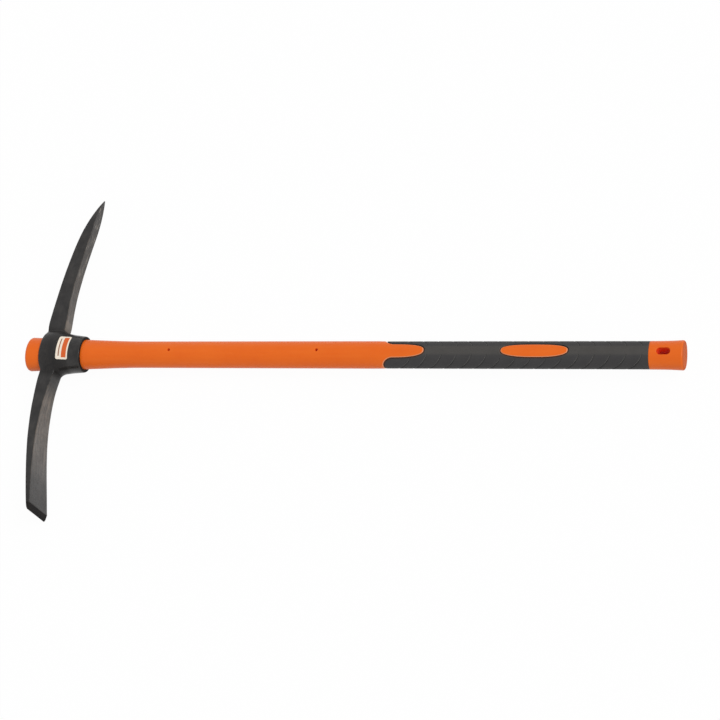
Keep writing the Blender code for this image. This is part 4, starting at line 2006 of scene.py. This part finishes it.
@dataclass
class CheekPanel:
    """A plain printed film on the eye's cheek, laid on the forging.

    The steps are how many chords a corner, a side across and a side along, and the rounded edge have.
    """

    axis: HandleAxis
    surface: BVHTree
    centre: Point = (0.0586, 0.0015)
    half: Half = (0.0086, 0.0172)
    corner: float = 0.0022
    least_corner: float = 0.0002
    corner_steps: int = 8
    side_steps: tuple[int, int] = (12, 24)
    thickness: float = 0.00014
    edge_steps: int = 3
    sunk: float = 0.00006
    rings: int = 12
    drop_from: float = 0.05

    def _outline(self, scale: float, shrink: float = 0.0) -> Plan:
        """The rounded rectangle in plan, drawn in at its edge and scaled about its centre.

        Args:
            scale: Its scale.
            shrink: How far its edge is drawn in.

        Returns:
            Its points, from the panel's centre.
        """
        corner = max(self.least_corner, self.corner - shrink)
        inset = [half - self.corner for half in self.half]
        corners = ((1, 1), (-1, 1), (-1, -1), (1, -1), (1, 1))
        plan = []
        for quadrant, (here, following) in enumerate(itertools.pairwise(corners)):
            pieces = self.side_steps[quadrant % 2]
            places = [(step / self.corner_steps, 0.0) for step in range(self.corner_steps + 1)]
            places += [(1.0, i / pieces) for i in range(1, pieces)]
            for turned, moved in places:
                angle = math.pi / 2 * (quadrant + turned)
                edge = (corner * math.cos(angle), corner * math.sin(angle))
                mix = [a + (b - a) * moved for a, b in zip(here, following)]
                plan.append(tuple(scale * (m * n + e) for m, n, e in zip(mix, inset, edge)))
        return plan

    def _laid(self, plan: Plan, lift: float) -> Ring:
        """Drops points on the cheek.

        Args:
            plan: Their places from the panel's centre.
            lift: How far over the surface they end up.

        Returns:
            The points.
        """
        ring = []
        for x, y in plan:
            above = Vector((self.centre[0] + x, self.centre[1] + y, self.drop_from))
            place, normal, _, _ = self.surface.ray_cast(above, Vector((0.0, 0.0, -1.0)))
            ring.append(place + normal * lift)
        return ring

    def build(self, material: Material) -> Object:
        """Builds the film.

        Args:
            material: Its finish.

        Returns:
            The piece.
        """
        scales = [step / self.rings for step in range(1, self.rings)]
        edge = arc(self.thickness, self.edge_steps)
        under = [self._laid(self._outline(scale), -self.sunk) for scale in [*scales, 1.0]]
        rim = [self._laid(self._outline(1.0, inward), self.thickness - rise) for inward, rise in edge]
        over = [self._laid(self._outline(scale), self.thickness) for scale in scales[::-1]]
        mesh = skinned("cheek_panel", [*under, *rim, *over])
        layer = mesh.uv_layers.new(name="panel")
        for loop in mesh.loops:
            place = mesh.vertices[loop.vertex_index].co
            across = (place.x - self.centre[0]) / (2 * self.half[0]) + 0.5
            along = (place.y - self.centre[1]) / (2 * self.half[1]) + 0.5
            layer.data[loop.index].uv = (across, along)
        return self.axis.finish("cheek_panel", mesh, material, Body.HEAD)


@dataclass
class Studio:
    """A pale floor, even soft light and the camera that took the photograph's view."""

    camera_at: Axes = (0.84454, -0.99280, 2.17942)
    camera_back: Axes = (0.3256, -0.3928, 0.8600)
    camera_roll: float = 0.00209
    lens: float = 96.74
    sensor: float = 36.0
    floor_half: float = 6.0
    floor_sides: int = 96
    floor_colour: Colour = (0.85, 0.85, 0.85)
    floor_glow: float = 0.97
    sky_strength: float = 0.62
    light_from: Axes = (0.62, 0.05, 0.76)
    light_strength: float = 1.55
    light_spread: float = 32.0

    @staticmethod
    def _seen_directly(wiring: Wiring) -> Socket:
        """1 for rays from the camera or by way of a mirror or glass, 0 for those that light things."""
        path = wiring.add("ShaderNodeLightPath").outputs
        return wiring.largest(*(path[f"Is {kind} Ray"] for kind in ("Camera", "Glossy", "Transmission")))

    def _floor(self) -> None:
        """A wide pale floor that keeps the tool's shadow."""
        material = bpy.data.materials.new("studio_floor")
        material.use_nodes = True
        material.node_tree.nodes.clear()
        wiring = Wiring(material.node_tree)
        paper = wiring.add("ShaderNodeBsdfDiffuse", {"Color": (*self.floor_colour, 1.0)}).outputs[0]
        glow = wiring.add("ShaderNodeEmission", {"Strength": 1.0}).outputs[0]
        share = wiring.times(self._seen_directly(wiring), self.floor_glow)
        mix = wiring.add("ShaderNodeMixShader", {0: share, 1: paper, 2: glow}).outputs[0]
        wiring.add("ShaderNodeOutputMaterial", {0: mix})
        bm = bmesh.new()
        bmesh.ops.create_circle(bm, cap_ends=True, segments=self.floor_sides, radius=self.floor_half)
        floor = new_object("studio_floor", written("studio_floor", bm))
        floor.data.materials.append(material)
        if floor.data.polygons[0].normal.z < 0:
            floor.data.flip_normals()

    def _sky(self) -> None:
        """An even white surround, which is plain white where it is seen."""
        world = bpy.data.worlds.new("studio")
        bpy.context.scene.world = world
        world.use_nodes = True
        wiring = Wiring(world.node_tree)
        background = wiring.tree.nodes["Background"]
        background.inputs["Color"].default_value = (1.0, 1.0, 1.0, 1.0)
        seen = self._seen_directly(wiring)
        strength = wiring.math("MULTIPLY_ADD", seen, 1.0 - self.sky_strength, self.sky_strength)
        wiring.tree.links.new(strength, background.inputs["Strength"])

    def _light(self) -> None:
        """A wide soft light that falls evenly on the whole tool, from the butt's side and above."""
        light = bpy.data.lights.new("soft_light", "SUN")
        light.angle = math.radians(self.light_spread)
        light.energy = self.light_strength
        lamp = bpy.data.objects.new("soft_light", light)
        lamp.location = self.light_from
        lamp.rotation_euler = Vector(self.light_from).to_track_quat("Z", "Y").to_euler()
        bpy.context.scene.collection.objects.link(lamp)

    def _camera(self) -> None:
        """The camera, from where it stood and which way was back."""
        back = Vector(self.camera_back).normalized()
        level = (Vector((1.0, 0.0, 0.0)) - back.x * back).normalized()
        upward = back.cross(level)
        turn, lift = math.cos(self.camera_roll), math.sin(self.camera_roll)
        right = turn * level + lift * upward
        up = turn * upward - lift * level
        data = bpy.data.cameras.new("camera")
        data.lens = self.lens
        data.sensor_width = self.sensor
        camera = bpy.data.objects.new("camera", data)
        turned = Matrix((right, up, back)).transposed().to_4x4()
        camera.matrix_world = Matrix.Translation(self.camera_at) @ turned
        bpy.context.scene.collection.objects.link(camera)
        bpy.context.scene.camera = camera

    def build(self) -> None:
        """Sets up the floor, the light and the camera."""
        self._floor()
        self._sky()
        self._light()
        self._camera()
        bpy.context.scene.view_settings.view_transform = "Standard"


def main() -> None:
    """Builds the tool's pieces and the studio."""
    logging.basicConfig(level=logging.INFO, format="%(name)s: %(message)s")
    axis = HandleAxis.from_frame()
    effects = Effects()
    sweep = OvalSweep()
    openings = GripOpenings()
    FibreglassCore(axis, sweep).build(ResinRod().material(effects))
    HandleJacket(axis, sweep, openings).build(SatinMoulding().material(effects))
    SoftGrip(axis, sweep, GrooveRow(), openings).build(SoftElastomer().material(effects))
    _, surface = PickHead(axis, sweep).build(ForgedLacquer().material(effects))
    CheekPanel(axis, surface).build(PrintedFilm().material(effects))
    Studio().build()
    bpy.context.view_layer.update()


if __name__ == "__main__":
    main()
